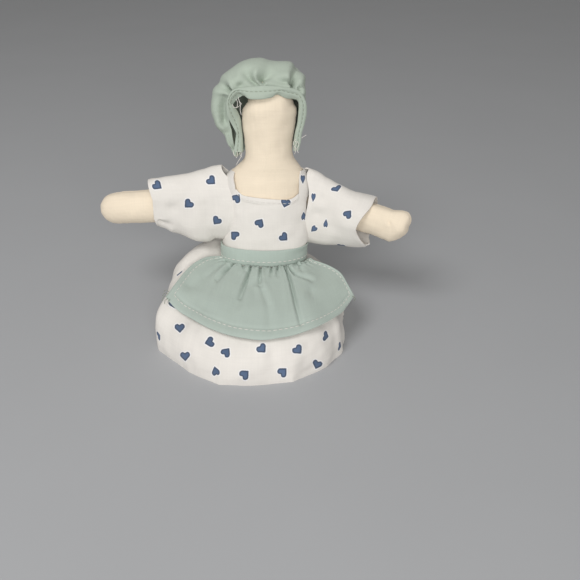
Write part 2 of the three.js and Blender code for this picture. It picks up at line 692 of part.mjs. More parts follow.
function addBonnet(group) {
  const places = bonnetOpening();
  const loop = (points) => new THREE.CatmullRomCurve3(points.map((p) => new THREE.Vector3(...p)), true);
  const rim = loop(places.map((place) => place.rim));
  const swell = loop(places.map((place) => place.swell));
  const middle = new THREE.Vector3(0, 0, BROW_HEIGHT - BRIM.low);
  const backPoint = new THREE.Vector3(-CAP_TILT, CAP_BACK, BROW_HEIGHT);
  const crown = (u, v) => {
    const turn = ((u % 1) + 1) % 1;
    const edge = rim.getPoint(turn);
    const puff = swell.getPoint(turn);
    const out = edge.clone().sub(middle).setY(0).normalize();
    const first = edge.clone().addScaledVector(out, puff.x);
    first.y += BRIM.stand;
    const second = backPoint.clone().addScaledVector(out, puff.y);
    const point = bezier([edge, first, second, backPoint], v);
    const fold = CROWN_FOLD * Math.cos(CROWN_FOLDS * turn * 2 * Math.PI) * Math.sin(Math.PI * v) ** 2;
    return point.addScaledVector(out, fold);
  };
  const place = new THREE.Group();
  place.position.x = HEAD_SHIFT;
  addMesh(place, 'cap_crown', sheet(crown, ...CROWN_GRID, { closed: true, pointed: true }), capCotton);
  addMesh(place, 'cap_band', sheet(bonnetBand(rim), ...BAND_GRID), capCotton);
  group.add(place);
}

// Band of the bonnet, which frames the face from one side of the neck over the brow to the other
function bonnetBand(rim) {
  const stand = COTTON + BAND_STAND;
  return (u, v) => {
    const turn = (mix(-BAND_REACH, BAND_REACH, u) + 1) % 1;
    const outer = rim.getPoint(turn);
    const brow = Math.max(0, (outer.z - BROW_HEIGHT) / (HEAD_TOP - BROW_HEIGHT));
    const height = outer.z - BROW_BAND * brow;
    const [, width, depth] = stationAt(HEAD, height);
    const angle = Math.atan2(outer.x / width, (BAND_FORWARD - outer.y) / depth);
    const inner = new THREE.Vector3(...stationPoint([height, width + stand, depth + stand], angle));
    return inner.lerp(outer, v * BAND_SHARE);
  };
}

const doll = new THREE.Group();
addTorso(upright);
addHead(upright);
const arms = [RIGHT_ARM, LEFT_ARM].map((arm) => [armPlace(arm), arm]);
for (const [place, arm] of arms) {
  addArm(place, arm);
  addSleeve(place, arm);
  upright.add(place);
}
addBodice(upright, arms);
addWaistband(upright);
addBonnet(upright);
doll.add(upright);

const legs = { right: legPlace(-1), left: legPlace(1) };
for (const [name, place] of Object.entries(legs)) {
  addLeg(place, name);
  doll.add(place);
}
addSkirt(doll, legs.right.position);
addApron(doll, legs.right.position);

export default doll;
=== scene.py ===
"""Sews a small faceless rag doll: a stuffed muslin body, a heart-print dress, a gathered apron and a cap."""

import math

import bmesh
import bpy
import numpy as np
from bpy.props import FloatProperty, FloatVectorProperty, PointerProperty
from bpy.types import Operator, Panel, PropertyGroup
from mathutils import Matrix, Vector


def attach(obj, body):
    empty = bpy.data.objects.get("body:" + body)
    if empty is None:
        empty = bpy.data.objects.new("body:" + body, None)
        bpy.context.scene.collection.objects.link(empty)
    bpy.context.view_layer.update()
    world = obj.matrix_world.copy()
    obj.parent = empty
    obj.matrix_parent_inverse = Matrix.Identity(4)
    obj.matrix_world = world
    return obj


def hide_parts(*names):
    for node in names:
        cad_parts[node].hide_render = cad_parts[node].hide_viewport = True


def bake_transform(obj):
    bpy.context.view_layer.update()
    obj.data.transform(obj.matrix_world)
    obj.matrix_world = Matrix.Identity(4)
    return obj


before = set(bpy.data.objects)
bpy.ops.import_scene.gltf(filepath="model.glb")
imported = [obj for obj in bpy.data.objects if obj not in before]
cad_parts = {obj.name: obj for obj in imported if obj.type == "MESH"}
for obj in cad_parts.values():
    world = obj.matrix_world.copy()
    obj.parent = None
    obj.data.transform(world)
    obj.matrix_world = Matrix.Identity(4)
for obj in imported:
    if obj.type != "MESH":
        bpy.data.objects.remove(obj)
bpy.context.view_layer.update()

bl_info = {
    "name": "Faceless rag doll",
    "version": (1, 0, 0),
    "blender": (4, 5, 0),
    "location": "3D View > Sidebar > Rag doll",
    "description": "Sews a small faceless rag doll with a print dress, an apron and a cap",
    "category": "Add Mesh",
}

MM = 0.001
TAU = 2 * math.pi

# Camera of the photograph: pixels of a square picture, millimetres in the row frame
PICTURE = 580
FOCAL_PIXELS = 700
SENSOR = 36
CAMERA = np.array([11.0, -292.1, 196.1])
CAMERA_TILT = math.radians(57)

# Body, in the torso's own frame: millimetres, upright, before it leans back on the seat
LEAN = math.radians(10)
SEAT = (-3.2, -0.5)
HEAD_SHIFT = 1.5
NECK_LOW = (1.5, 0, 70)
NECK_HIGH = (1.5, 0, 81)
ARM_HEIGHT = 53
SHOULDER = 24.3

# Rows of the stuffed forms: height, half width, half depth and shift to the side
TORSO = [
    [0, 0, 0, 0],
    [1.47, 13.1, 6.77, 0],
    [5.5, 17.2, 9.95, 0],
    [11, 18.5, 11, 0],
    [27, 17.4, 11.7, 0],
    [46.5, 17.7, 11.7, 0],
    [62, 18.1, 10.2, 0],
    [66.5, 17.5, 9.3, 0.2],
    [69.5, 15.2, 9.2, 0.9],
    [72, 12.3, 9.0, 1.5],
    [74, 10.4, 8.9, 1.5],
    [75.3, 9.1, 8.6, 1.5],
    [77.3, 6.4, 6.2, 1.5],
    [79, 0, 0, 1.5],
]
HEAD = [
    [67.8, 16.0, 8.9, -0.9],
    [69.6, 15.15, 9.2, -0.6],
    [70.8, 14.05, 9.3, -0.3],
    [72.5, 12.5, 9.3, 0],
    [74.5, 11.2, 9.2, 0],
    [77.5, 10.75, 9.1, 0],
    [82, 10.85, 9.2, 0],
    [89.45, 11.9, 9.9, 0],
    [96.5, 13.2, 10.8, 0],
    [100.5, 12.4, 10.4, 0],
    [103.5, 11.2, 9.5, 0],
    [107, 8.2, 6.92, 0],
    [108.6, 4.51, 3.66, 0],
    [109, 0, 0, 0],
]

# Arms: angles in degrees and lengths in mm; sag is how deep, where and over what length a sleeve hangs
RIGHT_ARM = {"side": -1, "reach": 54, "droop": 3.5, "forward": 0, "sleeve": 28.7, "cuff": 1.8, "slant": 0,
             "sag": (2.8, 9, 9), "root": 1.6, "layer": 0.4}
LEFT_ARM = {"side": 1, "reach": 46, "droop": 10, "forward": 20, "sleeve": 26, "cuff": -1.2, "slant": 4.2,
            "sag": (2.4, -1, 14), "root": 0, "layer": 1.3}
ARM_SHAPE = {"root": 6.2, "swell": 7.8, "tip": 7.2, "flattening": 0.86}
LEG_SHAPE = {"root": 7.1, "swell": 7.3, "tip": 6.6, "reach": 40.5, "flattening": 0.96}
HIP = (8.7, -18.398, 7.308)

# Points round and along the stuffed forms
CURVE_STEPS = 400
BODY_GRID = (120, 110)
ARM_GRID = (72, 90)
LEG_GRID = (64, 70)

# Soft waves: how many are summed, their lengths as shares of the scale, and what evens out their sum
WAVES = 7
WAVE_LENGTHS = (0.7, 1.7)
WAVE_SUM = 3.2

# Folds: how they fade to their far end, and the ridges beside them as shares of their width
FOLD_FADE = 0.7
RIDGE_RISE = 0.2
RIDGE_PLACE = 2.1
RIDGE_SPREAD = 1.1

# Outlines: degrees of a step round them, and the share of the radius from which they pull
OUTLINE_STEP = 2
OUTLINE_BEGIN = 0.4


def srgb(*levels):
    """Linear colour of an sRGB colour with levels up to 255."""
    return tuple(((level / 255 + 0.055) / 1.055) ** 2.4 for level in levels)


def mix(a, b, share):
    return a + (b - a) * share


def ease(share):
    share = np.clip(share, 0, 1)
    return share * share * (3 - 2 * share)


def bell(away, width):
    """A bell of height 1 and some width."""
    return np.exp(-((away / width) ** 2))


def bump(turn, at, width):
    """A bell round the angle at, all in degrees."""
    return bell((turn - at + 180) % 360 - 180, width)


def unit(vectors):
    length = np.linalg.norm(vectors, axis=-1, keepdims=True)
    return vectors / np.maximum(length, 1e-9)


def gaps(points, axis=0):
    """Distances from each point to the next along an axis of a grid or a line."""
    return np.linalg.norm(np.diff(points, axis=axis), axis=-1)


def running(steps):
    """Distance covered before each step and after the last."""
    return np.concatenate([[0], np.cumsum(steps)])


def sample(rows, along, at):
    """Rows of values taken at places along a line."""
    return np.stack([np.interp(at, along, column) for column in rows.T], -1)


def ripple(points, scale, seed):
    """Soft uneven waves over points, about -1 to 1, with bumps of the size of scale."""
    draw = np.random.default_rng(seed)
    total = np.zeros(points.shape[:-1])
    for _ in range(WAVES):
        way = unit(draw.normal(size=3)) * TAU / (scale * draw.uniform(*WAVE_LENGTHS))
        total += np.sin(points @ way + draw.uniform(0, TAU))
    return total / WAVE_SUM


def ripples(points, waves, *seeds):
    """Waves of several (height, scale) in mm, each with its seed."""
    return sum(height * ripple(points, scale, seed) for (height, scale), seed in zip(waves, seeds))


# Camera rays, which place the print and the folds where the photograph shows them

def distance(points):
    """How far points lie from the camera along its axis."""
    away = points - CAMERA
    return away[..., 1] * math.sin(CAMERA_TILT) - away[..., 2] * math.cos(CAMERA_TILT)


def pixels(points):
    """Where points in millimetres fall in the photograph."""
    away = points - CAMERA
    up = away[..., 1] * math.cos(CAMERA_TILT) + away[..., 2] * math.sin(CAMERA_TILT)
    scale = FOCAL_PIXELS / distance(points)
    return np.stack([PICTURE / 2 + scale * away[..., 0], PICTURE / 2 - scale * up], -1)


def at_pixels(place, depth):
    """Points that fall on pixels of the photograph at a distance along the camera's axis."""
    right = (place[..., 0] - PICTURE / 2) / FOCAL_PIXELS * depth
    up = (PICTURE / 2 - place[..., 1]) / FOCAL_PIXELS * depth
    cos, sin = math.cos(CAMERA_TILT), math.sin(CAMERA_TILT)
    return CAMERA + np.stack([right, up * cos + depth * sin, up * sin - depth * cos], -1)


def on_floor(place):
    """Points of the floor seen at pixels of the photograph."""
    ray = at_pixels(np.asarray(place, float), np.ones(len(place))) - CAMERA
    return CAMERA - ray * (CAMERA[2] / ray[:, 2])[:, None]


def picture_way(right, down):
    """World direction of a direction in the picture."""
    cos, sin = math.cos(CAMERA_TILT), math.sin(CAMERA_TILT)
    return np.array([right, -down * cos, -down * sin])


def creases(points, lines):
    """Relief in mm of folds in the photograph: each is (width, depth, pixels from its deep end on)."""
    place = pixels(points)
    total = np.zeros(points.shape[:-1])
    for width, depth, *corners in lines:
        corners = np.array(corners, float)
        steps = gaps(corners)
        before = running(steps)
        nearest, run = np.full(total.shape, np.inf), np.zeros(total.shape)
        for a, b, length, start in zip(corners, corners[1:], steps, before):
            way = (b - a) / length
            at = np.clip((place - a) @ way, 0, length)
            gap = np.linalg.norm(place - a - at[..., None] * way, axis=-1)
            run = np.where(gap < nearest, (start + at) / before[-1], run)
            nearest = np.minimum(nearest, gap)
        reach = width * (1 + run)
        ridge = RIDGE_RISE * bell(nearest - RIDGE_PLACE * reach, RIDGE_SPREAD * reach)
        total += depth * (1 - FOLD_FADE * run) * (ridge - bell(nearest, reach))
    return total


def fit_outline(grid, centre, knots, still):
    """Moves a grid across the picture so that its outline runs through knots, all in pixels."""
    place, depth = pixels(grid), distance(grid)
    away = place - centre
    radius = np.hypot(away[..., 0], away[..., 1])
    degrees = np.degrees(np.arctan2(away[..., 1], away[..., 0]))
    reach = np.zeros(360 // OUTLINE_STEP)
    np.maximum.at(reach, np.round(degrees / OUTLINE_STEP).astype(int).ravel() % len(reach), radius.ravel())
    found = np.flatnonzero(reach)
    edge = np.array([*knots, *still], float) - centre
    at = np.degrees(np.arctan2(edge[:, 1], edge[:, 0]))
    here, there = (np.interp(turn, found * OUTLINE_STEP, reach[found], period=360) for turn in (degrees, at))
    grow = np.hypot(edge[:, 0], edge[:, 1]) / there
    grow[len(knots):] = 1
    pull = ease((radius / here - OUTLINE_BEGIN) / (1 - OUTLINE_BEGIN))
    share = 1 + (np.interp(degrees, at, grow, period=360) - 1) * pull
    return at_pixels(centre + away * share[..., None], depth)


# Grids of points and the meshes made of them

def through(stations, count):
    """Rows spaced evenly along a smooth curve through stations; a pointed end comes out round."""
    rows = np.asarray(stations, float)
    mirror = np.array([1, -1, -1, 1])
    first = rows[1] * mirror if rows[0, 1] == 0 else 2 * rows[0] - rows[1]
    last = rows[-2] * mirror if rows[-1, 1] == 0 else 2 * rows[-1] - rows[-2]
    knots = np.vstack([first, rows, last])
    steps = gaps(knots[:, :2])
    along = running(steps)
    slopes = (knots[2:] - knots[:-2]) / (along[2:] - along[:-2])[:, None]
    at = np.linspace(along[1], along[-2], count)
    k = np.clip(np.searchsorted(along[1:-1], at, side="right") - 1, 0, len(rows) - 2)
    span = steps[k + 1][:, None]
    t = (at[:, None] - along[k + 1][:, None]) / span
    blend_a = (1 + 2 * t) * (1 - t) ** 2
    blend_b = t * t * (3 - 2 * t)
    pull_a = t * (1 - t) ** 2
    pull_b = t * t * (t - 1)
    return (blend_a * rows[k] + blend_b * rows[k + 1]
            + span * (pull_a * slopes[k] + pull_b * slopes[k + 1]))


def curve(knots, share, closed=False):
    """Smooth curve through knots at shares of its length, counted in knots."""
    knots = np.asarray(knots, float)
    count = len(knots)
    at = (share % 1) * count if closed else np.clip(share, 0, 1) * (count - 1)
    k = np.floor(at).astype(int) if closed else np.minimum(np.floor(at).astype(int), count - 2)
    t = (at - k)[..., None]
    near = [k + shift for shift in (-1, 0, 1, 2)]
    a, b, c, d = (knots[n % count if closed else np.clip(n, 0, count - 1)] for n in near)
    return 0.5 * (2 * b + (c - a) * t + (2 * a - 5 * b + 4 * c - d) * t ** 2
                  + (3 * b - a - 3 * c + d) * t ** 3)


TORSO_CURVE = through(TORSO, CURVE_STEPS)


def torso_ring(height):
    """Half width, half depth and sideways shift of the torso at a height."""
    return [np.interp(height, TORSO_CURVE[:, 0], TORSO_CURVE[:, k]) for k in (1, 2, 3)]


def torso_layer(turn, height, offset):
    """Points on a layer of cloth round the torso."""
    width, depth, shift = torso_ring(height)
    return np.stack([shift + (width + offset) * np.sin(turn), -(depth + offset) * np.cos(turn),
                     height + 0 * turn], -1)


def rings(stations, sides, count):
    """Points round a stuffed form, row by row upwards."""
    turn = np.linspace(0, TAU, sides + 1)
    height, width, depth, shift = (column[:, None] for column in through(stations, count).T)
    return np.stack([shift + width * np.sin(turn), -depth * np.cos(turn), height + 0 * turn], -1)


def to_world(points):
    """From the torso's upright frame to the row frame."""
    cos, sin = math.cos(LEAN), math.sin(LEAN)
    x, y, z = points[..., 0], points[..., 1], points[..., 2]
    return np.stack([x, SEAT[0] + cos * y + sin * z, SEAT[1] - sin * y + cos * z], -1)


def outward(points, closed=False):
    """Normals of a grid; columns run along the first tangent and rows along the second."""
    if closed:
        wrapped = np.concatenate([points[:, -2:-1], points, points[:, 1:2]], 1)
        across = wrapped[:, 2:] - wrapped[:, :-2]
    else:
        across = np.gradient(points, axis=1)
    return unit(np.cross(across, np.gradient(points, axis=0)))


def cloth_coordinates(points):
    """Metres along the rows and columns of a grid, for the weave."""
    u, v = running(gaps(points, 1).mean(0)), running(gaps(points).mean(1))
    return np.stack(np.broadcast_arrays(u[None, :], v[:, None]), -1) * MM


WELD = 1e-7
SHARP_ANGLE = math.radians(55)


def sew(name, grid, material, keep=None, thickness=0):
    """A mesh object from a grid of points in mm; keep marks the faces that stay."""
    rows, columns = grid.shape[:2]
    index = np.arange(rows * columns).reshape(rows, columns)
    quads = np.stack([index[:-1, :-1], index[:-1, 1:], index[1:, 1:], index[1:, :-1]], -1)
    quads = quads.reshape(-1, 4) if keep is None else quads[keep]
    mesh = bpy.data.meshes.new(name)
    mesh.from_pydata((grid.reshape(-1, 3) * MM).tolist(), [], quads.tolist())
    layer = mesh.uv_layers.new(name="UVMap")
    coordinates = cloth_coordinates(grid).reshape(-1, 2)
    layer.data.foreach_set("uv", coordinates[quads.ravel()].astype(np.float32).ravel())
    work = bmesh.new()
    work.from_mesh(mesh)
    bmesh.ops.remove_doubles(work, verts=work.verts, dist=WELD)
    loose = [vertex for vertex in work.verts if not vertex.link_faces]
    bmesh.ops.delete(work, geom=loose, context="VERTS")
    work.to_mesh(mesh)
    work.free()
    mesh.materials.append(material)
    piece = bpy.data.objects.new(name, mesh)
    bpy.context.scene.collection.objects.link(piece)
    if thickness:
        solid = piece.modifiers.new("Cloth thickness", "SOLIDIFY")
        solid.thickness = thickness
        solid.offset = -1
        bake(piece)
    smooth(piece)
    return piece


def bake(piece):
    """Applies a piece's modifiers."""
    bpy.context.view_layer.update()
    shown = piece.evaluated_get(bpy.context.evaluated_depsgraph_get())
    mesh = bpy.data.meshes.new_from_object(shown)
    piece.modifiers.clear()
    piece.data = mesh


def smooth(piece):
    """Shades a piece smooth apart from its sharp edges."""
    piece.data.shade_smooth()
    piece.data.set_sharp_from_angle(angle=SHARP_ANGLE)


def add_solids(piece, solids, material):
    """Adds small solids, each a list of points in mm and a list of faces, to a piece's mesh."""
    mesh = piece.data
    slot = len(mesh.materials)
    mesh.materials.append(material)
    work = bmesh.new()
    work.from_mesh(mesh)
    for points, faces in solids:
        made = [work.verts.new(Vector(point) * MM) for point in points]
        for face in faces:
            new = work.faces.new([made[k] for k in face])
            new.material_index = slot
            new.smooth = True
    work.to_mesh(mesh)
    work.free()


# Thread: sides of its tube, and a direction that no thread runs along
THREAD_SIDES = 6
THREAD_LEVEL = (0.31, 0.17, 0.93)

# Stitches: shares of the pitch where the first begins, the last ends and one reaches, and of the radius
STITCH_POINTS = 6
STITCH_FIRST = 0.1
STITCH_LAST = 0.8
STITCH_SHARE = 0.74
STITCH_RISE = 0.75
STITCH_SINK = 0.35
STITCH_TIP = 0.45

# Frayed threads, in mm: how far one curls and lifts off the cloth
FRAY_POINTS = 14
FRAY_TURN = 5
FRAY_CURL = 0.4
FRAY_LIFT = 0.3
FRAY_RADIUS = 0.13


def thread(path, radius):
    """A closed tube along points in mm; radius is one value or a value for each point."""
    path = np.asarray(path, float)
    count, sides = len(path), THREAD_SIDES
    way = unit(np.gradient(path, axis=0))
    aside = unit(np.cross(way, THREAD_LEVEL))
    over = np.cross(way, aside)
    reach = np.asarray(radius) * np.ones(count)
    turn = np.arange(sides) * TAU / sides
    circle = aside[:, None] * np.cos(turn)[:, None] + over[:, None] * np.sin(turn)[:, None]
    points = (path[:, None] + circle * reach[:, None, None]).reshape(-1, 3)
    faces = [list(range(sides))[::-1], list(range((count - 1) * sides, count * sides))]
    for row in range(count - 1):
        for k in range(sides):
            a, b = row * sides + k, row * sides + (k + 1) % sides
            faces.append([a, b, b + sides, a + sides])
    return points.tolist(), faces


def topstitch(path, normals, pitch, radius):
    """Machine stitches along a line of cloth, as little bars that dip in at their ends."""
    along = running(gaps(path))
    share = np.linspace(0, 1, STITCH_POINTS)
    arch = np.sin(math.pi * share)
    rise = arch[:, None] * radius * STITCH_RISE - radius * STITCH_SINK
    reach = radius * (STITCH_TIP + (1 - STITCH_TIP) * arch)
    solids = []
    for start in np.arange(pitch * STITCH_FIRST, along[-1] - pitch * STITCH_LAST, pitch):
        at = start + share * pitch * STITCH_SHARE
        solids.append(thread(sample(path, along, at) + unit(sample(normals, along, at)) * rise, reach))
    return solids


def fray(path, grid):
    """A loose thread that curls out of a grid of cloth along pixels of the photograph."""
    line = curve(path, np.linspace(0, 1, FRAY_POINTS))
    near = np.linalg.norm(pixels(grid) - path[0], axis=-1)
    curl = FRAY_CURL * np.sin(np.linspace(0, FRAY_TURN, FRAY_POINTS) + path[0][1])
    return thread(at_pixels(line, distance(grid).flat[near.argmin()] + curl - FRAY_LIFT), FRAY_RADIUS)


# The print

# Hearts seen askew are drawn out no further than on cloth that faces the camera this much
LEAST_FACING = 0.6
LEAST_SLANT = 0.05

# Shares of a heart's height
NOTCH_DEPTH = 0.09
NOTCH_WIDTH = 0.17
HEART_MIDDLE = 0.55
HEART_REACH = 2.2

# Least agreement of cloth and heart in direction, and the distance stored far from any heart, in mm
HEART_FACING = 0.15
FAR_FROM_HEARTS = 3.0

# Strewn hearts: shares of the spacing, and how far cloth must turn from the camera to count as unseen
ROW_START = 0.4
ROW_PITCH = 0.78
FIRST_HEART = 0.3
STAGGER = 0.5
JITTER = 0.12
CLEARANCE = 0.75
UNSEEN = -0.1
STREWN_LEVEL = (0.3, 0.9, 0.2)


def heart_distance(x, y):
    """Signed distance to a heart one unit high, its point at the origin and its lobes up."""
    x = np.abs(x)
    y = y + NOTCH_DEPTH * bell(x, NOTCH_WIDTH) * np.clip((y - 0.5) / 0.5, 0, 1)
    lobe = np.hypot(x - 0.25, y - 0.75) - math.sqrt(2) / 4
    shared = 0.5 * np.maximum(x + y, 0)
    side = np.minimum(x * x + (y - 1) ** 2, (x - shared) ** 2 + (y - shared) ** 2)
    return np.where(x + y > 1, lobe, np.sqrt(side) * np.sign(x - y))


def seen_marks(grid, normals, hearts, size):
    """Hearts listed by pixel as marks on a grid: (centre, normal, axes across and along the heart)."""
    shown = pixels(grid)
    turned_away = (normals * (CAMERA - grid)).sum(-1) < 0
    ahead = np.array([0, math.sin(CAMERA_TILT), -math.cos(CAMERA_TILT)])
    marks = []
    for x, y, right, down, wide, tall in hearts:
        miss = np.hypot(shown[..., 0] - x, shown[..., 1] - y) + FOCAL_PIXELS * turned_away
        at = np.unravel_index(np.argmin(miss), miss.shape)
        across = picture_way(1, 0) - ahead * (x - PICTURE / 2) / FOCAL_PIXELS
        below = picture_way(0, 1) - ahead * (y - PICTURE / 2) / FOCAL_PIXELS
        right, down = unit(np.array([right, down], float))
        view = unit(CAMERA - grid[at])
        facing = view @ normals[at]
        slant = unit(view - facing * normals[at])
        spare = max(1, LEAST_FACING / max(facing, LEAST_SLANT)) - 1
        side, tip = (axis + spare * (axis @ slant) * slant
                     for axis in (across * down - below * right, across * right + below * down))
        marks.append((grid[at], normals[at], side / (size * wide), -tip / (size * tall)))
    return marks


def spread_marks(grid, normals, size, spacing, seed, clear, hidden=None):
    """Hearts strewn in staggered rows where the camera doesn't see the grid, clear of other marks."""
    draw = np.random.default_rng(seed)
    place = cloth_coordinates(grid) / MM
    marks = []
    for row, v in enumerate(np.arange(spacing * ROW_START, place[..., 1].max(), spacing * ROW_PITCH)):
        for u in np.arange(spacing * (FIRST_HEART + STAGGER * (row % 2)), place[..., 0].max(), spacing):
            shift = draw.uniform(-JITTER, JITTER, 2) * spacing
            angle = draw.uniform(0, TAU)
            miss = (place[..., 0] - u - shift[0]) ** 2 + (place[..., 1] - v - shift[1]) ** 2
            at = np.unravel_index(np.argmin(miss), miss.shape)
            centre, normal = grid[at], normals[at]
            facing = normal @ unit(CAMERA - centre) > UNSEEN
            if facing and not (hidden is not None and hidden[at]):
                continue
            if any(np.linalg.norm(centre - other[0]) < CLEARANCE * spacing for other in clear):
                continue
            across = unit(np.cross(normal, STREWN_LEVEL))
            tip = across * math.cos(angle) + np.cross(normal, across) * math.sin(angle)
            marks.append((centre, normal, np.cross(normal, tip) / size, -tip / size))
    return marks


def print_hearts(piece, marks, size):
    """Stores the distance to the nearest heart, in mm, on each point of a piece."""
    mesh = piece.data
    count = len(mesh.vertices)
    points, normals = np.zeros(count * 3, np.float32), np.zeros(count * 3, np.float32)
    mesh.vertices.foreach_get("co", points)
    mesh.vertices.foreach_get("normal", normals)
    points, normals = points.reshape(-1, 3) / MM, normals.reshape(-1, 3)
    field = np.full(count, FAR_FROM_HEARTS)
    for centre, normal, across, along in marks:
        away = points - centre
        near = (np.linalg.norm(away, axis=1) < HEART_REACH * size) & (normals @ normal > HEART_FACING)
        x, y = away[near] @ across, HEART_MIDDLE + away[near] @ along
        field[near] = np.minimum(field[near], heart_distance(x, y) * size)
    store = mesh.attributes.new("heart", "FLOAT", "POINT")
    store.data.foreach_set("value", field.astype(np.float32))


def print_cloth(piece, grid, normals, hearts, sizes, seed, hidden=None):
    """Prints the hearts that the photograph shows, whose marks it returns, and strews unseen ones."""
    size, spacing = sizes.heart / MM, sizes.spacing / MM
    seen = seen_marks(grid, normals, hearts, size)
    print_hearts(piece, seen + spread_marks(grid, normals, size, spacing, seed, seen, hidden), size)
    return seen


# Materials

# Weave: how slubs and dye vary over the cloth, the weave's share of the grain, and tones of the colour
SLUB_STRETCHES = ((60.0, 1500.0, 1.0), (1500.0, 60.0, 1.0))
SLUB_DETAIL = 2.0
CLOUD_SCALE = 60.0
CLOUD_DETAIL = 4.0
CLOUD_RANGE = (0.35, 0.65)
CLOUD_TONES = (0.955, 1.02)
WEAVE_SHARE = 0.22
GRAIN_RANGE = (-0.5, 0.5)
GRAIN_TONE = 0.86
WEAVE_ROUGHNESS = (-0.6, 0.6, 0.95, 0.85)
WEAVE_RELIEF = 0.00012

# Ink: distances from a heart's edge in mm, and tones of its colour
RAGGED_EDGE = 0.25
HALO_RANGE = (0.2, 0.6)
HALO_SHARE = 0.6
INK_CLOUD = (0.3, 0.7)
INK_TONES = (0.92, 1.3)
INK_RIM = (-0.75, -0.15)
INK_RIM_TONE = 0.42
INK_LIMIT = (-0.12, 0.16)

# Thread: its twist
TWIST_SCALE = 2600.0
TWIST_RANGE = (0.3, 0.7)
TWIST_TONE = 0.82
TWIST_STRENGTH = 0.3
TWIST_RELIEF = 0.0001

# Kinds of cloth: colour, pitch of the weave in mm and strength of its relief; and colours of threads
CLOTHS = {"muslin": ("muslin", 0.34, 0.45), "print_cotton": ("white", 0.26, 0.3),
          "apron_cotton": ("apron", 0.3, 0.4), "cap_cotton": ("cap", 0.3, 0.4)}
YARNS = {"white_thread": "white", "cap_thread": "cap_thread"}


class Nodes:
    """Adds shader nodes to a material."""

    def __init__(self, name):
        self.material = bpy.data.materials.new(name)
        self.material.use_nodes = True
        self.tree = self.material.node_tree
        self.shader = self.tree.nodes["Principled BSDF"]

    def link(self, source, target):
        self.tree.links.new(source, target)

    def set(self, socket, value):
        if isinstance(value, bpy.types.NodeSocket):
            self.link(value, socket)
        else:
            socket.default_value = value

    def math(self, operation, a, b=0.0):
        node = self.tree.nodes.new("ShaderNodeMath")
        node.operation = operation
        self.set(node.inputs[0], a)
        self.set(node.inputs[1], b)
        return node.outputs[0]

    def blend(self, share, a, b):
        node = self.tree.nodes.new("ShaderNodeMix")
        node.data_type = "RGBA"
        self.set(node.inputs["Factor"], share)
        self.set(node.inputs["A"], a)
        self.set(node.inputs["B"], b)
        return node.outputs["Result"]

    def spread(self, value, low, high, start=0.0, end=1.0):
        node = self.tree.nodes.new("ShaderNodeMapRange")
        self.set(node.inputs["Value"], value)
        node.inputs["From Min"].default_value = low
        node.inputs["From Max"].default_value = high
        node.inputs["To Min"].default_value = start
        node.inputs["To Max"].default_value = end
        return node.outputs["Result"]

    def noise(self, vector, scale, detail):
        node = self.tree.nodes.new("ShaderNodeTexNoise")
        self.link(vector, node.inputs["Vector"])
        node.inputs["Scale"].default_value = scale
        node.inputs["Detail"].default_value = detail
        return node.outputs["Fac"]

    def place(self):
        return self.tree.nodes.new("ShaderNodeTexCoord").outputs["Object"]

    def shade(self, values):
        for name, value in values.items():
            self.set(self.shader.inputs[name], value)

    def relief(self, height, strength, distance_m):
        node = self.tree.nodes.new("ShaderNodeBump")
        self.set(node.inputs["Height"], height)
        self.set(node.inputs["Strength"], strength)
        self.set(node.inputs["Distance"], distance_m)
        self.link(node.outputs[0], self.shader.inputs["Normal"])


def colour4(colour, share=1.0):
    """A colour with its levels times a share, and full opacity."""
    return (*[min(1.0, channel * share) for channel in colour], 1.0)


def cloth(name, colour, pitch, relief, ink=None):
    """Plain woven cotton with slubs and uneven dye; ink is the colour of printed hearts and their halo."""
    made = Nodes(name)
    nodes = made.tree.nodes
    uv = nodes.new("ShaderNodeUVMap")
    uv.uv_map = "UVMap"
    part = nodes.new("ShaderNodeSeparateXYZ")
    made.link(uv.outputs[0], part.inputs[0])
    waves = [made.math("SINE", made.math("MULTIPLY", part.outputs[k], TAU / (pitch * MM))) for k in (0, 1)]
    slubs = []
    for stretch in SLUB_STRETCHES:
        scale = nodes.new("ShaderNodeVectorMath")
        scale.operation = "MULTIPLY"
        made.link(uv.outputs[0], scale.inputs[0])
        scale.inputs[1].default_value = stretch
        slubs.append(made.noise(scale.outputs[0], 1.0, SLUB_DETAIL))
    slub = made.math("SUBTRACT", made.math("ADD", *slubs), 1.0)
    grain = made.math("ADD", made.math("MULTIPLY", made.math("MULTIPLY", *waves), WEAVE_SHARE), slub)
    cloud = made.noise(made.place(), CLOUD_SCALE, CLOUD_DETAIL)
    tone = made.blend(made.spread(cloud, *CLOUD_RANGE), *(colour4(colour, share) for share in CLOUD_TONES))
    shaded = made.blend(0.5, tone, colour4(colour, GRAIN_TONE))
    tone = made.blend(made.spread(grain, *GRAIN_RANGE), shaded, tone)
    if ink:
        heart, halo = ink
        mark = nodes.new("ShaderNodeAttribute")
        mark.attribute_name = "heart"
        ragged = made.math("ADD", mark.outputs["Fac"], made.math("MULTIPLY", slub, RAGGED_EDGE))
        rim = made.math("MULTIPLY", made.spread(ragged, *HALO_RANGE, 1.0, 0.0), HALO_SHARE)
        tone = made.blend(rim, tone, colour4(halo))
        inked = made.blend(made.spread(cloud, *INK_CLOUD), *(colour4(heart, share) for share in INK_TONES))
        inked = made.blend(made.spread(ragged, *INK_RIM), inked, colour4(heart, INK_RIM_TONE))
        tone = made.blend(made.spread(ragged, *INK_LIMIT, 1.0, 0.0), tone, inked)
    made.shade({"Base Color": tone, "Roughness": made.spread(grain, *WEAVE_ROUGHNESS),
                "Specular IOR Level": 0.15, "Sheen Weight": 0.12, "Sheen Roughness": 0.6})
    made.relief(grain, relief, WEAVE_RELIEF)
    return made.material


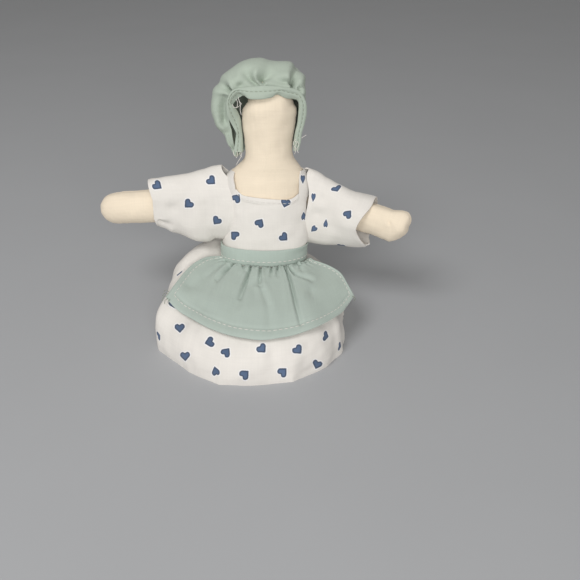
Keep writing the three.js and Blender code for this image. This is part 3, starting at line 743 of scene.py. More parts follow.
def yarn(name, colour):
    """Sewing thread with a faint twist."""
    made = Nodes(name)
    twist = made.noise(made.place(), TWIST_SCALE, 1.0)
    tone = made.blend(made.spread(twist, *TWIST_RANGE), colour4(colour, TWIST_TONE), colour4(colour))
    made.shade({"Base Color": tone, "Roughness": 0.8, "Specular IOR Level": 0.2})
    made.relief(twist, TWIST_STRENGTH, TWIST_RELIEF)
    return made.material


def material(colours, kind):
    """The material of a kind of cloth or thread, made on its first use."""
    name = f"doll_{kind}"
    known = bpy.data.materials.get(name)
    if known:
        return known
    if kind in YARNS:
        return yarn(name, getattr(colours, YARNS[kind]))
    colour, pitch, relief = CLOTHS[kind]
    ink = (colours.heart, colours.halo) if kind == "print_cotton" else None
    return cloth(name, getattr(colours, colour), pitch, relief, ink)


# Properties

class DollColours(PropertyGroup):
    """Colours of the doll's cloth and thread."""

    muslin: FloatVectorProperty(
        name="Muslin", description="Colour of the stuffed body", subtype="COLOR", min=0, max=1,
        default=srgb(241, 226, 203))
    white: FloatVectorProperty(
        name="White cotton", description="Ground of the printed cotton", subtype="COLOR", min=0, max=1,
        default=srgb(232, 227, 220))
    heart: FloatVectorProperty(
        name="Hearts", description="Ink of the printed hearts", subtype="COLOR", min=0, max=1,
        default=srgb(84, 101, 128))
    halo: FloatVectorProperty(
        name="Halo", description="Pale edge round each heart", subtype="COLOR", min=0, max=1,
        default=srgb(243, 244, 250))
    apron: FloatVectorProperty(
        name="Apron", description="Colour of the apron", subtype="COLOR", min=0, max=1,
        default=srgb(180, 192, 183))
    cap: FloatVectorProperty(
        name="Cap", description="Colour of the cap", subtype="COLOR", min=0, max=1,
        default=srgb(178, 189, 175))
    cap_thread: FloatVectorProperty(
        name="Cap thread", description="Colour of the cap's stitches", subtype="COLOR", min=0, max=1,
        default=srgb(150, 156, 140))
    floor: FloatVectorProperty(
        name="Floor", description="Colour of the floor", subtype="COLOR", min=0, max=1,
        default=srgb(174, 175, 177))


class DollSizes(PropertyGroup):
    """Sizes of the doll's cloth, stitches and print."""

    cotton: FloatProperty(
        name="Cotton", description="Thickness of the dress, apron and cap", unit="LENGTH",
        default=0.0006, min=0.0002, max=0.002)
    heart: FloatProperty(
        name="Heart", description="Height of a printed heart", unit="LENGTH",
        default=0.0037, min=0.002, max=0.01)
    spacing: FloatProperty(
        name="Heart spacing", description="Distance between printed hearts", unit="LENGTH",
        default=0.0135, min=0.008, max=0.03)
    stitch: FloatProperty(
        name="Stitch", description="Length of one machine stitch", unit="LENGTH",
        default=0.0025, min=0.001, max=0.005)
    seam: FloatProperty(
        name="Seam depth", description="How deep the side seams of the body draw in", unit="LENGTH",
        default=0.0005, min=0, max=0.002)


def settings(context):
    """The doll's sizes and colours."""
    return context.scene.doll_sizes, context.scene.doll_colours


# Stuffed body

# Seams and filling: shares of the way round, heights and lengths in mm
BODY_PARTS = ("front", "back", "stuffing")
SEAMS = (0.25, 0.75)
SEAM_WIDTH = 0.7
PUCKER_WIDTH = 2.6
PUCKER_PITCH = 3.1
PUCKER_SHARE = 0.3
PUCKER_WAVE = (0.6, 0.4)
FILLING_WAVES = ((0.16, 9), (0.05, 3))
THIN_GIRTH = 12

# Heights at which the torso and the head begin to lie still, so that they meet cleanly at the neck
TORSO_CALM = 68
HEAD_CALM = 72
CALM_LENGTH = 6

# Rows that close the head from below, and how far out they reach
CLOSING_ROWS = 8
CLOSING_REACH = 0.96

# Outlines in pixels: centre, points to run through, and directions left as they are
FACE_OUTLINE = (
    (268, 128),
    [(247.5, 102), (244, 106), (242, 112), (241.5, 120), (242.5, 130), (244, 142), (294, 103), (296.5, 108),
     (297, 114), (296, 122), (294.5, 130), (292.5, 142)],
    [(268, 90), (246, 152), (268, 160), (291, 152)],
)
HAND_OUTLINE = (
    (388, 222),
    [(374, 203), (394, 210), (408, 211.5), (412, 217), (409, 227), (402, 237), (389, 242), (370, 234)],
    [(350, 200), (340, 222), (350, 236)],
)
HAND_FOLDS = [(1.3, 0.5, (389, 223), (388, 217)), (1.3, 0.5, (389, 223), (392, 231))]


def carry(piece, body):
    """Lets a piece ride a body; a piece given two bodies and two points keeps its place in the world."""
    if isinstance(body, str):
        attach(piece, body)
    else:
        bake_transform(piece)


def stuffed(name, grid, context, body, calm=1):
    """A stuffed muslin piece with seams down its sides."""
    sizes, colours = settings(context)
    share = np.linspace(0, 1, grid.shape[1])
    girth = gaps(grid, 1).sum(1)[:, None]
    down = running(gaps(grid).mean(1))[:, None]
    pucker = PUCKER_WAVE[0] + PUCKER_WAVE[1] * np.sin(TAU * down / PUCKER_PITCH)
    draw = np.zeros(grid.shape[:2])
    for seam in SEAMS:
        away = np.abs((share - seam + 0.5) % 1 - 0.5)[None, :] * girth
        pulled = bell(away, SEAM_WIDTH) + PUCKER_SHARE * pucker * bell(away, PUCKER_WIDTH)
        draw -= sizes.seam / MM * pulled
    draw += ripples(grid, FILLING_WAVES, len(name), len(name) + 1)
    thin = np.minimum(1, girth / THIN_GIRTH)
    shaped = grid + outward(grid, closed=True) * (draw * thin * calm)[..., None]
    shaped[:, -1] = shaped[:, 0]
    shaped[..., 2] = np.maximum(shaped[..., 2], 0)
    piece = sew(name, shaped, material(colours, "muslin"))
    carry(piece, body)
    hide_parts(*(f"{name}_{part}" for part in BODY_PARTS))


def limb(root, swell, tip, reach, flattening):
    """Stations of an arm or a leg, from its joint to its rounded end."""
    joint = [(-root * math.cos(math.radians(a)), root * math.sin(math.radians(a))) for a in (0, 30, 60, 90)]
    end = [(reach - tip * (1 - math.sin(math.radians(a))), tip * math.cos(math.radians(a)))
           for a in (0, 35, 65)]
    rows = [*joint, ((reach - tip) / 2, swell), *end, (reach, 0)]
    return [[height, width, width * flattening, 0] for height, width in rows]


def arm_place(arm, points):
    """From an arm's own frame, which runs out along +Z with +X up, to the row frame."""
    droop, forward, side = math.radians(arm["droop"]), math.radians(arm["forward"]), arm["side"]
    out = np.array([side * math.cos(forward) * math.cos(droop), -math.sin(forward) * math.cos(droop),
                    -math.sin(droop)])
    up = unit(np.array([0, 0, 1]) - out * out[2])
    axes = np.stack([up, np.cross(out, up), out])
    return to_world(points @ axes + (side * SHOULDER, 0, ARM_HEIGHT))


class DOLL_OT_torso(Operator):
    """Stuffs the torso"""

    bl_idname = "doll.torso"
    bl_label = "Torso"

    def execute(self, context):
        grid = to_world(rings(TORSO, *BODY_GRID))
        calm = ease((TORSO_CALM - grid[..., 2]) / CALM_LENGTH)
        stuffed("torso", grid, context, "torso", calm)
        return {"FINISHED"}


class DOLL_OT_head(Operator):
    """Stuffs the faceless head, whose muslin reaches down over the neck"""

    bl_idname = "doll.head"
    bl_label = "Head"

    def execute(self, context):
        rows, bottom = rings(HEAD, *BODY_GRID), (0, 0, HEAD[0][0])
        under = np.linspace(0, CLOSING_REACH, CLOSING_ROWS)[:, None, None] * (rows[0] - bottom) + bottom
        whole = to_world(np.concatenate([under, rows]) + (HEAD_SHIFT, 0, 0))
        whole = fit_outline(whole, *FACE_OUTLINE)
        neck = ("torso", "head", *(to_world(np.array(end)) * MM for end in (NECK_LOW, NECK_HIGH)))
        calm = ease((whole[..., 2] - HEAD_CALM) / CALM_LENGTH)
        stuffed("head", whole, context, neck, calm)
        return {"FINISHED"}


class DOLL_OT_arms(Operator):
    """Stuffs both arms, which end in plain rounded hands"""

    bl_idname = "doll.arms"
    bl_label = "Arms"

    def execute(self, context):
        for name, arm in (("right_arm", RIGHT_ARM), ("left_arm", LEFT_ARM)):
            grid = arm_place(arm, rings(limb(reach=arm["reach"], **ARM_SHAPE), *ARM_GRID))
            if arm is LEFT_ARM:
                grid = fit_outline(grid, *HAND_OUTLINE)
                grid += outward(grid, closed=True) * creases(grid, HAND_FOLDS)[..., None]
            stuffed(name, grid, context, name)
        return {"FINISHED"}


class DOLL_OT_legs(Operator):
    """Stuffs both legs, which lie straight forward under the skirt"""

    bl_idname = "doll.legs"
    bl_label = "Legs"

    def execute(self, context):
        grid = rings(limb(**LEG_SHAPE), *LEG_GRID)
        x, y, z = grid[..., 0], grid[..., 1], grid[..., 2]
        for name, side in (("right_leg", -1), ("left_leg", 1)):
            placed = np.stack([side * HIP[0] + x, HIP[1] - z, HIP[2] + y], -1)
            stuffed(name, placed, context, name)
        return {"FINISHED"}


# Dress, in mm in the torso's own frame

NECKLINE = 57.8
NECKLINE_SLANT = 0.09
NECKLINE_HALF = 15.5
NECKLINE_FOOT = 13.9
CORNER_RISE = 2.6
BACK_NECKLINE = 62
DRESS_LAYER = 0.95
TRIM_LAYER = 1.75
WAIST = 24.4
BODICE_TOP = 68.9
ARMHOLE = 7.6
FACING = 2.6
SLEEVE_ROOT = -15.0
SLIT = -2.7
SHOULDER_EDGE = -2.5
ARMHOLE_NARROWING = 1.35
ARMHOLE_BEYOND = 12
WAIST_BULGE = 3.0
LEFT_BULGE = 1.9
STRAP_BULGE = 0.8

# Neckline: shares of its half width where a corner begins and how far it runs on, and its height
CORNER_BEGIN = 0.62
CORNER_BEYOND = 0.3
CORNER_HEIGHT = 5

# Rows below and above the neckline, columns of a strap and of the middle, and rows and columns of the facing
BODICE_ROWS = (64, 24)
STRAP_COLUMNS = 26
MIDDLE_COLUMNS = 91
BODICE_WAVES = ((0.25, 13), (0.1, 6))
BODICE_RELIEF = (-0.4, 0.8)
FACING_GRID = (12, 121)
FACING_LAYERS = (1.05, 1.2)
FACING_STITCHES = 4
FACING_THREAD = 0.13
BODICE_SEED = 21
BODICE_FOLDS = [
    (5, 0.35, (257, 206), (258, 212)),
    (3, 0.3, (228, 232), (227, 243)),
]

# Hearts that the photograph shows: pixel, direction of the tip, and shares of the full width and height
BODICE_HEARTS = [
    (237, 198, 0.7, -0.9, 1, 1), (260, 223, 0.6, -0.9, 1, 1), (234, 235, -1, -1, 1, 1),
    (284, 238, 1, 0.9, 1, 1), (304, 216, 0, -1, 0.5, 1), (285, 203, -0.3, 1, 1, 1),
    (303, 180, 0, 1, 0.45, 1),
]
RIGHT_SLEEVE_HEARTS = [
    (158, 186, 1, 0.7, 1, 1.1), (188, 204, -0.9, 0.9, 1.05, 1.05), (212, 181, 0.9, 0.8, 1.05, 1.05),
    (216, 221, -0.6, 0.8, 1, 1),
]
LEFT_SLEEVE_HEARTS = [
    (336, 189, 0.4, 1, 1.1, 0.65), (313, 198, -0.1, 1, 0.45, 1), (348, 214, 0.7, -0.8, 0.9, 1),
    (326, 223, 0.1, -1, 0.45, 0.95), (314, 229, -0.8, 0.8, 0.6, 0.85), (341, 247, 0, 1, 0.9, 0.9),
]
SKIRT_HEARTS = [
    (180, 328, 0.05, 1, 1, 1), (185, 357, 0.05, 1, 0.95, 1), (209, 342, -1, 0.25, 1, 1),
    (226, 352, 0.8, -1, 0.95, 1), (262, 349, 0.8, 0.9, 1, 1), (298, 350, 0.8, 0.9, 1, 1),
    (215, 371, -0.2, -1, 0.75, 1), (245, 374, 1, -0.9, 1, 1), (283, 372, 0.9, -0.9, 1, 1),
    (317, 365, -0.35, 1, 0.95, 0.95), (326, 336, 1, 0.2, 1, 0.6), (340, 346, 1, 0.1, 0.9, 0.5),
    (159, 336, 1, -0.3, 0.95, 0.35), (174, 304, 0.3, 1, 1, 1), (175, 269, 0, 1, 0.8, 1),
]


def finish_cloth(piece, body):
    """Gives a sheet to what carries it, and hides the node that it stands for."""
    carry(piece, body)
    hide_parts(piece.name.removesuffix("_cloth"))


def bulge(points):
    """The dress stands out at the doll's right waist and strap, and along its left side."""
    x, z = points[..., 0], points[..., 2]
    waist = ease((-x - 6) / 12) * ease((48 - z) / 16)
    left = ease((x - 6) / 12) * ease((z - 31) / 4) * ease((66 - z) / 6)
    strap = ease((-x - 11) / 4) * ease((z - 48) / 8)
    return points + np.stack([LEFT_BULGE * left - WAIST_BULGE * waist, -STRAP_BULGE * strap, 0 * x], -1)


def corner(share):
    """How much the neckline rises at a share of its half width: rounded corners."""
    inside = np.clip((share - CORNER_BEGIN) / (1 - CORNER_BEGIN), 0, 1) ** 2
    return CORNER_RISE * np.where(share < 1, inside, np.clip(1 - (share - 1) / CORNER_BEYOND, 0, 1) ** 2)


def bodice_grid(front):
    """Columns follow the straps and the neckline; keep leaves the neck and the armholes open."""
    neck = NECKLINE if front else BACK_NECKLINE
    slant = NECKLINE_SLANT if front else 0
    foot = NECKLINE_FOOT if front else NECKLINE_HALF
    low, high = BODICE_ROWS
    heights = np.concatenate([np.linspace(WAIST, neck, low), np.linspace(neck, BODICE_TOP, high)[1:]])
    width, _, shift = torso_ring(heights)
    half = mix(NECKLINE_HALF, foot, ease((BODICE_TOP - heights) / (BODICE_TOP - neck)))
    inner = np.arcsin(np.clip((half - shift * 0.5) / (width + DRESS_LAYER), 0, 0.9995))[:, None]
    strap = np.linspace(0, 1, STRAP_COLUMNS)[None, :]
    middle = np.linspace(-1, 1, MIDDLE_COLUMNS)[None, :]
    edge = math.pi / 2
    sides = mix(-edge, -inner, strap[:, :-1]), mix(inner, edge, strap[:, 1:])
    turn = np.concatenate([sides[0], inner * middle, sides[1]], 1)
    lean = np.interp(heights, [WAIST, neck - 12, neck, BODICE_TOP - 4, BODICE_TOP], [0, 0.6, 1, 0.4, 0])
    flat = torso_layer(turn, heights[:, None] + 0 * turn, DRESS_LAYER)
    tall = flat[..., 2] - slant * lean[:, None] * flat[..., 0]
    if front:
        tall = tall + corner(np.abs(turn) / inner) * bell(heights - neck, CORNER_HEIGHT)[:, None]
    grid = torso_layer(turn if front else turn + math.pi, tall, DRESS_LAYER)
    columns = np.arange(turn.shape[1] - 1)
    middle_column = (columns >= STRAP_COLUMNS - 1) & (columns < turn.shape[1] - STRAP_COLUMNS)
    above = np.arange(len(heights) - 1) >= low - 1
    keep = ~(above[:, None] & middle_column[None, :])
    centre = (grid[:-1, :-1] + grid[1:, 1:]) / 2
    hole = np.hypot(centre[..., 1] * ARMHOLE_NARROWING, centre[..., 2] - ARM_HEIGHT) < ARMHOLE
    keep &= ~(hole & (np.abs(centre[..., 0]) > ARMHOLE_BEYOND))
    return grid, keep


def facing_grid():
    """The strip that faces the neckline, from its foot up."""
    rows, columns = FACING_GRID
    reach = np.linspace(-1, 1, columns)[None, :]
    drop = np.linspace(FACING, 0, rows)[:, None]
    width = torso_ring(np.array(NECKLINE))[0] + TRIM_LAYER
    turn = np.arcsin(NECKLINE_FOOT / width) * reach
    tall = NECKLINE - NECKLINE_SLANT * width * np.sin(turn) - drop + corner(np.abs(reach))
    layer = mix(*FACING_LAYERS, np.sin(math.pi * drop / FACING)) + 0 * tall
    return bulge(to_world(torso_layer(turn + 0 * tall, tall, layer)))


class DOLL_OT_bodice(Operator):
    """Sews the bodice of the dress, with its square neckline and topstitched facing"""

    bl_idname = "doll.bodice"
    bl_label = "Bodice"

    def execute(self, context):
        sizes, colours = settings(context)
        cotton = material(colours, "print_cotton")
        seen = {}
        for side in ("front", "back"):
            front = side == "front"
            grid, keep = bodice_grid(front)
            grid = bulge(to_world(grid))
            normals = outward(grid)
            wave = ripples(grid, BODICE_WAVES, 5 + front, 8)
            wave += creases(grid, BODICE_FOLDS) if front else 0
            grid = grid + normals * np.clip(wave, *BODICE_RELIEF)[..., None]
            piece = sew(f"bodice_{side}_cloth", grid, cotton, keep, sizes.cotton)
            hearts = BODICE_HEARTS if front else ()
            seen[side] = print_cloth(piece, grid, normals, hearts, sizes, BODICE_SEED)
            finish_cloth(piece, "torso")
        grid = facing_grid()
        piece = sew("neckline_facing_cloth", grid, cotton, None, sizes.cotton)
        print_hearts(piece, seen["front"], sizes.heart / MM)
        line, lift = grid[FACING_STITCHES], outward(grid)[FACING_STITCHES]
        stitches = topstitch(line, lift, sizes.stitch / MM, FACING_THREAD)
        add_solids(piece, stitches, material(colours, "white_thread"))
        finish_cloth(piece, "torso")
        return {"FINISHED"}


# Sleeves: height and depth at the shoulder and the cuff, the drop of the shoulder, and depth of the folds
SLEEVE_HEIGHTS = (34, 21.2)
SLEEVE_DEPTHS = (13.4, 18.6)
SLEEVE_DROP = -2
SLEEVE_INSET = 6.2
SLEEVE_FOLD = 0.7
SLEEVE_WAVES = ((0.4, 16), (0.14, 7))
SLEEVE_GRID = (80, 221)
SLEEVE_SEED = 40

# Where a sleeve leaves the bodice: end and steps of the search, step for a line that misses, and top
SLEEVE_SEARCH = (8, 240)
SLEEVE_MISS = 60
SLEEVE_TOP = 71

# Two places of a sleeve in the row frame: mm to the side, and y and z in metres
SLEEVE_BEND = (18, 28)
SLEEVE_AXIS = (0.006, 0.0517)

# Centre, points of the outline and directions left as they are, in pixels
SLEEVE_OUTLINES = {
    "right": ((190, 205),
              [(151.5, 178), (170, 175.5), (186, 173), (205, 168.5), (220, 164), (152.5, 200), (154, 219),
               (159, 225), (172, 231), (186, 236), (197, 241), (209, 241), (215, 238)],
              [(230, 185), (230, 215)]),
    "left": ((335, 215),
             [(311, 168), (325, 177), (340, 184), (356, 191), (378, 202), (369, 237), (365, 248), (357, 247),
              (340, 246), (325, 245), (310, 243)],
             [(300, 190), (300, 215), (302, 230), (380, 218)]),
}
RIGHT_SLEEVE_FOLDS = [
    (1.2, 0.9, (160, 221), (169, 225)),
    (5, 0.6, (172, 208), (180, 212)),
    (4, 0.5, (205, 205), (214, 236)),
    (3, 0.4, (168, 224), (200, 236)),
]
LEFT_SLEEVE_FOLDS = [
    (5, 0.6, (318, 214), (330, 218), (338, 238)),
    (4, 0.4, (322, 200), (340, 204)),
]


def sleeve_tube(arm, angle, along):
    """Points of a sleeve in its arm's frame."""
    share = (along + SLEEVE_INSET) / (arm["sleeve"] + SLEEVE_INSET)
    fold = SLEEVE_FOLD * np.cos(3 * angle + 2 * share) * np.maximum(0, along / arm["sleeve"])
    height = mix(*SLEEVE_HEIGHTS, share) / 2 + fold
    depth = mix(*SLEEVE_DEPTHS, share) / 2 + fold
    ahead = np.maximum(0, arm["side"] * np.sin(angle))
    depth = depth + arm["root"] * ahead * bell(along + 8, 6)
    bend = -arm["side"] * np.minimum(0, along) * math.tan(math.radians(arm["forward"]))
    deep, middle, spread = arm["sag"]
    sag = deep * np.maximum(0, -np.cos(angle)) ** 1.5 * bell(along - middle, spread)
    rise = mix(SLEEVE_DROP, arm["cuff"], share) + height * np.cos(angle) - sag
    return np.stack([rise, bend + depth * np.sin(angle), along + 0 * angle], -1)


def sleeve_start(arm, angle):
    """How far along its arm each line of a sleeve leaves the bodice."""
    end, count = SLEEVE_SEARCH
    along = np.linspace(SLEEVE_ROOT, end, count)[:, None]
    world = arm_place(arm, sleeve_tube(arm, angle[None, :], along))
    cos, sin = math.cos(LEAN), math.sin(LEAN)
    y, z = world[..., 1] - SEAT[0], world[..., 2] - SEAT[1]
    local_y, local_z = cos * y - sin * z, sin * y + cos * z
    width, depth, shift = torso_ring(np.minimum(local_z, SLEEVE_TOP))
    layer = arm["layer"]
    inside = np.hypot((world[..., 0] - shift) / (width + layer), local_y / (depth + layer)) < 1
    last = np.where(inside.any(0), count - 1 - np.argmax(inside[::-1], 0), SLEEVE_MISS)
    start = along[last, 0]
    if arm["side"] > 0:
        ahead = np.sin(angle)
        limit = SLIT - 3.6 * ease((1 - np.maximum(0, ahead)) / 0.5)
        start = np.maximum(start, mix(SLEEVE_ROOT, limit, ease((ahead + 0.5) / 0.4)))
    else:
        start = np.maximum(start, mix(SLEEVE_ROOT, SHOULDER_EDGE, ease((np.cos(angle) - 0.5) / 0.5)))
    padded = np.concatenate([start[-7:-1], start, start[1:7]])
    return np.convolve(padded, np.ones(13) / 13, "valid")


class DOLL_OT_sleeves(Operator):
    """Sews the two wide sleeves"""

    bl_idname = "doll.sleeves"
    bl_label = "Sleeves"

    def execute(self, context):
        sizes, colours = settings(context)
        rows, columns = SLEEVE_GRID
        angle = np.linspace(0, TAU, columns)
        share = np.linspace(0, 1, rows)[:, None]
        for name, arm, hearts, folds in (
            ("right", RIGHT_ARM, RIGHT_SLEEVE_HEARTS, RIGHT_SLEEVE_FOLDS),
            ("left", LEFT_ARM, LEFT_SLEEVE_HEARTS, LEFT_SLEEVE_FOLDS),
        ):
            front = np.maximum(0, arm["side"] * np.sin(angle)) ** 0.7 * ease((1 - np.cos(angle)) / 1.4)
            along = mix(sleeve_start(arm, angle)[None, :], arm["sleeve"] - arm["slant"] * front, share)
            grid = arm_place(arm, sleeve_tube(arm, angle[None, :], along))
            grid = fit_outline(grid, *SLEEVE_OUTLINES[name])
            normals = outward(grid, closed=True)
            wave = ripples(grid, SLEEVE_WAVES, 31 + arm["side"], 12)
            wave += creases(grid, folds) * (normals @ unit(CAMERA - grid.mean((0, 1))) > 0)
            grid = grid + normals * (wave * ease(share / 0.1))[..., None]
            grid[:, -1] = grid[:, 0]
            piece = sew(f"{name}_sleeve_cloth", grid, material(colours, "print_cotton"), None, sizes.cotton)
            print_cloth(piece, grid, outward(grid, closed=True), hearts, sizes, SLEEVE_SEED)
            ends = [(place * arm["side"] * MM, *SLEEVE_AXIS) for place in SLEEVE_BEND]
            finish_cloth(piece, ("torso", f"{name}_arm", *ends))
        return {"FINISHED"}


# Skirt: its hem in the photograph, and the hem's middle and radius on the floor
HEM_PIXELS = [(156, 344), (160, 350), (171, 359), (190, 371), (219, 385), (244, 385), (268, 383.5),
              (293, 382), (309, 374.5), (326, 366), (335, 359), (345, 352)]
HEM_MIDDLE = np.array([0, -13.2])
HEM_RADIUS = 49.698
HEM_STEPS = 20
HEM_SMOOTHING = (24, 10)
HEM_LIFT = 0.02

# Bells round the skirt: degrees from the front, and width in degrees
FEET = ((-17, 17), (17, 17))
RIGHT_SPREAD = (-64, 12)
LEFT_TUCK = (90, 32)
SLUMP = (128, 50)
PUFF = (-82, 24)
HAUNCH = (-112, 30)

# Waist, ledge under the waistband, and folds; heights in mm, and the ledge's share of the way down
SKIRT_WAIST = 24.0
SKIRT_LAYER = 0.3
LEDGE = 2.6
LEDGE_SHARE = 0.1
SKIRT_FOLD = 0.9
SKIRT_PLEATS = 11
SKIRT_WAVES = ((0.4, 17), (0.15, 7))
SIDE_SEAM = (0.5, 0.018)
SKIRT_GRID = (130, 300)
SKIRT_SEED = 50
SKIRT_FOLDS = [
    (5, 0.5, (196, 330), (192, 352)),
    (6, 0.5, (232, 362), (238, 380)),
    (6, 0.5, (272, 356), (274, 378)),
    (5, 0.5, (308, 346), (312, 372)),
]


def hem_seen():
    """The hem that the photograph shows, as angles in degrees and radii round its middle."""
    corners = on_floor(HEM_PIXELS)
    share = np.linspace(0, 1, HEM_STEPS, endpoint=False)[:, None]
    line = np.concatenate([mix(a, b, share) for a, b in zip(corners, corners[1:])])
    away = line[:, :2] - HEM_MIDDLE
    return np.degrees(np.arctan2(away[:, 0], -away[:, 1])), np.hypot(away[:, 0], away[:, 1])


def hem_soft(seen):
    """The same hem without its corners."""
    reach, width = HEM_SMOOTHING
    even = np.arange(-180, 181.0)
    weight = bell(np.arange(-reach, reach + 1), width)
    return even, np.convolve(np.pad(np.interp(even, *seen), reach, "edge"), weight / weight.sum(), "valid")


HEM_SEEN = hem_seen()
HEM_SOFT = hem_soft(HEM_SEEN)


def round_front(turn):
    """Degrees from the front, between -180 and 180."""
    return (np.degrees(turn) + 180) % 360 - 180


def hem(turn, seen):
    """The skirt's hem on the floor; turn is 0 at the front and grows towards +X."""
    degrees = round_front(turn)
    feet = 2.4 * (sum(bump(degrees, *foot) for foot in FEET) - 0.5)
    sides = 3.4 * np.sin(turn) + 9 * np.sin(turn) ** 4
    radius = HEM_RADIUS - sides + feet + 6 * bump(degrees, *RIGHT_SPREAD)
    radius = radius + 2 * (1 - np.cos(turn)) - 1.6 * bump(degrees, *LEFT_TUCK)
    first, last = HEM_SEEN[0][0], HEM_SEEN[0][-1]
    inside = ease((degrees - first + 6) / 12) * ease((last + 7 - degrees) / 12)
    radius = mix(radius, np.interp(degrees, *seen), inside)
    return np.stack([radius * np.sin(turn), HEM_MIDDLE[1] - radius * np.cos(turn), 0 * turn], -1)


def bezier(share, start, first, second, end):
    """Points of a curve that leaves start towards first and reaches end from second."""
    rest = 1 - share
    return (rest ** 3 * start + 3 * share * rest ** 2 * first + 3 * share * share * rest * second
            + share ** 3 * end)


def skirt_points(turn, v):
    """The skirt rolls from the waist over the lap and drops to its hem."""
    width, depth, _ = torso_ring(np.array(SKIRT_WAIST))
    aside = np.stack([np.sin(turn), -np.cos(turn), 0 * turn], -1)
    edge = np.stack([(width + SKIRT_LAYER) * np.sin(turn), -(depth + SKIRT_LAYER) * np.cos(turn),
                     SKIRT_WAIST + 0 * turn], -1)
    waist, ledge = to_world(edge), to_world(edge + LEDGE * aside)
    foot, corners = hem(turn, HEM_SOFT), hem(turn, HEM_SEEN)
    out = foot - ledge
    out[..., 2] = 0
    reach = np.linalg.norm(out, axis=-1, keepdims=True)
    out = out / reach
    degrees = round_front(turn)
    behind = ease((-np.cos(turn) + 0.1) / 0.9)
    slump, puff, haunch = (bump(degrees, *place) for place in (SLUMP, PUFF, HAUNCH))
    over = ledge + out * (reach * mix(0.5, 0.3, behind)[..., None] + 11 * puff[..., None])
    over[..., 2] += 7 * behind * (1 - slump) - 2.5 * slump + 14 * haunch - 3 * (1 - behind)
    drop = foot + out * (mix(1.5, -5, ease((degrees - 35) / 30) * (1 - behind)) + 5.5 * puff)[..., None]
    drop[..., 2] = mix(22, 6, slump) + 5 * puff
    t = np.maximum(0, (v - LEDGE_SHARE) / (1 - LEDGE_SHARE))
    s = t[..., None]
    point = bezier(s, ledge, over, drop, foot)
    pleat = (1 + np.cos(SKIRT_PLEATS * turn + 0.6)) / 2
    fold = SKIRT_FOLD * pleat * np.sin(math.pi / 2 * np.minimum(1, t / 0.8))
    point = point + out * (fold * t)[..., None]
    point[..., 2] += fold * (1 - t) * np.minimum(1, t / 0.17)
    point = point + (corners - foot) * s ** 8
    roll = waist + (ledge - waist) * (v / LEDGE_SHARE)[..., None]
    return np.where((v < LEDGE_SHARE)[..., None], roll, point)


class DOLL_OT_skirt(Operator):
    """Sews the front and the back of the skirt"""

    bl_idname = "doll.skirt"
    bl_label = "Skirt"

    def execute(self, context):
        sizes, colours = settings(context)
        rows, columns = SKIRT_GRID
        for side, middle in (("front", 0), ("back", math.pi)):
            front = side == "front"
            v = np.linspace(0, 1, rows)[:, None]
            turn = middle - np.linspace(-1, 1, columns)[None, :] * math.pi / 2 + 0 * v
            v = v + 0 * turn
            grid = skirt_points(turn, v)
            wave = ripples(grid, SKIRT_WAVES, 3, 4)
            if front:
                wave += creases(grid, SKIRT_FOLDS) * ease((v - 0.5) / 0.2)
            wave *= ease((v - 0.12) / 0.2) * (1 - ease((v - 0.95) / 0.05) * 0.7)
            wave -= SIDE_SEAM[0] * bell(np.abs(turn - middle) - math.pi / 2, SIDE_SEAM[1])
            grid = grid + outward(grid) * wave[..., None]
            grid[..., 2] = np.maximum(grid[..., 2], HEM_LIFT)
            piece = sew(f"skirt_{side}_cloth", grid, material(colours, "print_cotton"), None, sizes.cotton)
            under_apron = (v < 0.5) & (np.abs(turn - middle) < 1.3)
            print_cloth(piece, grid, outward(grid), SKIRT_HEARTS if front else (), sizes, SKIRT_SEED,
                        under_apron if front else None)
            finish_cloth(piece, "torso")
        return {"FINISHED"}


# Apron, in mm; its edges, folds and frays in pixels

BAND_BOTTOM = 25.8
BAND_WIDTH = 7.8
BAND_GAP = 0.025
BAND_LAYER = 1.8
BAND_FULLNESS = 0.35
BAND_WAVES = ((0.1, 8),)
BAND_GRID = (26, 260)
BAND_STITCHES = 7
APRON_THREAD = 0.16
APRON_GRID = (170, 420)
APRON_GATHER = 0.3
APRON_WAVES = ((0.12, 9),)
APRON_FIRST_STITCH = 6
APRON_BEND = ((0, -0.0135, 0.0262), (0, -0.024, 0.024))
APRON_SPREAD = math.radians(84)
APRON_HEM = 4.1
APRON_SLOPE = 0.45
APRON_FOLDS = [
    (1.0, 1.8, (235.5, 262), (226, 270), (217, 279)),
    (2.2, 0.8, (229, 267), (217, 280), (207, 296)),
    (1.0, 2.0, (251, 266), (247, 277), (240, 297)),
    (2.6, 0.8, (248, 272), (240, 297), (233, 310), (233, 326)),
    (1.0, 1.8, (260.5, 266), (260, 276), (259, 284)),
    (3.4, 0.9, (259, 280), (251, 286), (257, 296)),
    (2.2, 0.8, (261, 286), (268, 305), (270, 328)),
    (0.9, 1.6, (271.5, 267), (271, 275)),
    (0.9, 1.4, (277.5, 267), (277.5, 275)),
    (1.0, 2.0, (285, 266), (291, 282), (296, 304), (301, 323)),
    (2.4, 0.8, (289, 276), (296, 304), (301, 324)),
    (1.0, 1.8, (289, 267), (295, 274), (304, 276), (312, 280)),
    (2.4, 0.7, (292, 270), (304, 276), (318, 284)),
    (1.1, 1.1, (243, 265), (245, 270)),
    (1.1, 1.1, (299, 264), (303, 271)),
    (1.4, 0.9, (229, 259), (216, 268), (204, 278)),
    (5.0, 1.0, (312, 292), (320, 306)),
    (6.0, 1.0, (190, 284), (200, 276)),
    (6.0, 0.8, (205, 308), (214, 318)),
]
APRON_FRAYS = [
    ((168, 294), (165, 293), (162.5, 296)), ((167, 296), (163.5, 297), (162, 301)),
    ((168, 298), (165, 300.5), (164.5, 304)), ((169, 292), (166, 290), (164, 291.5)),
    ((170, 299), (168, 302), (169.5, 305)), ((352, 296), (355, 298), (354, 301)),
]
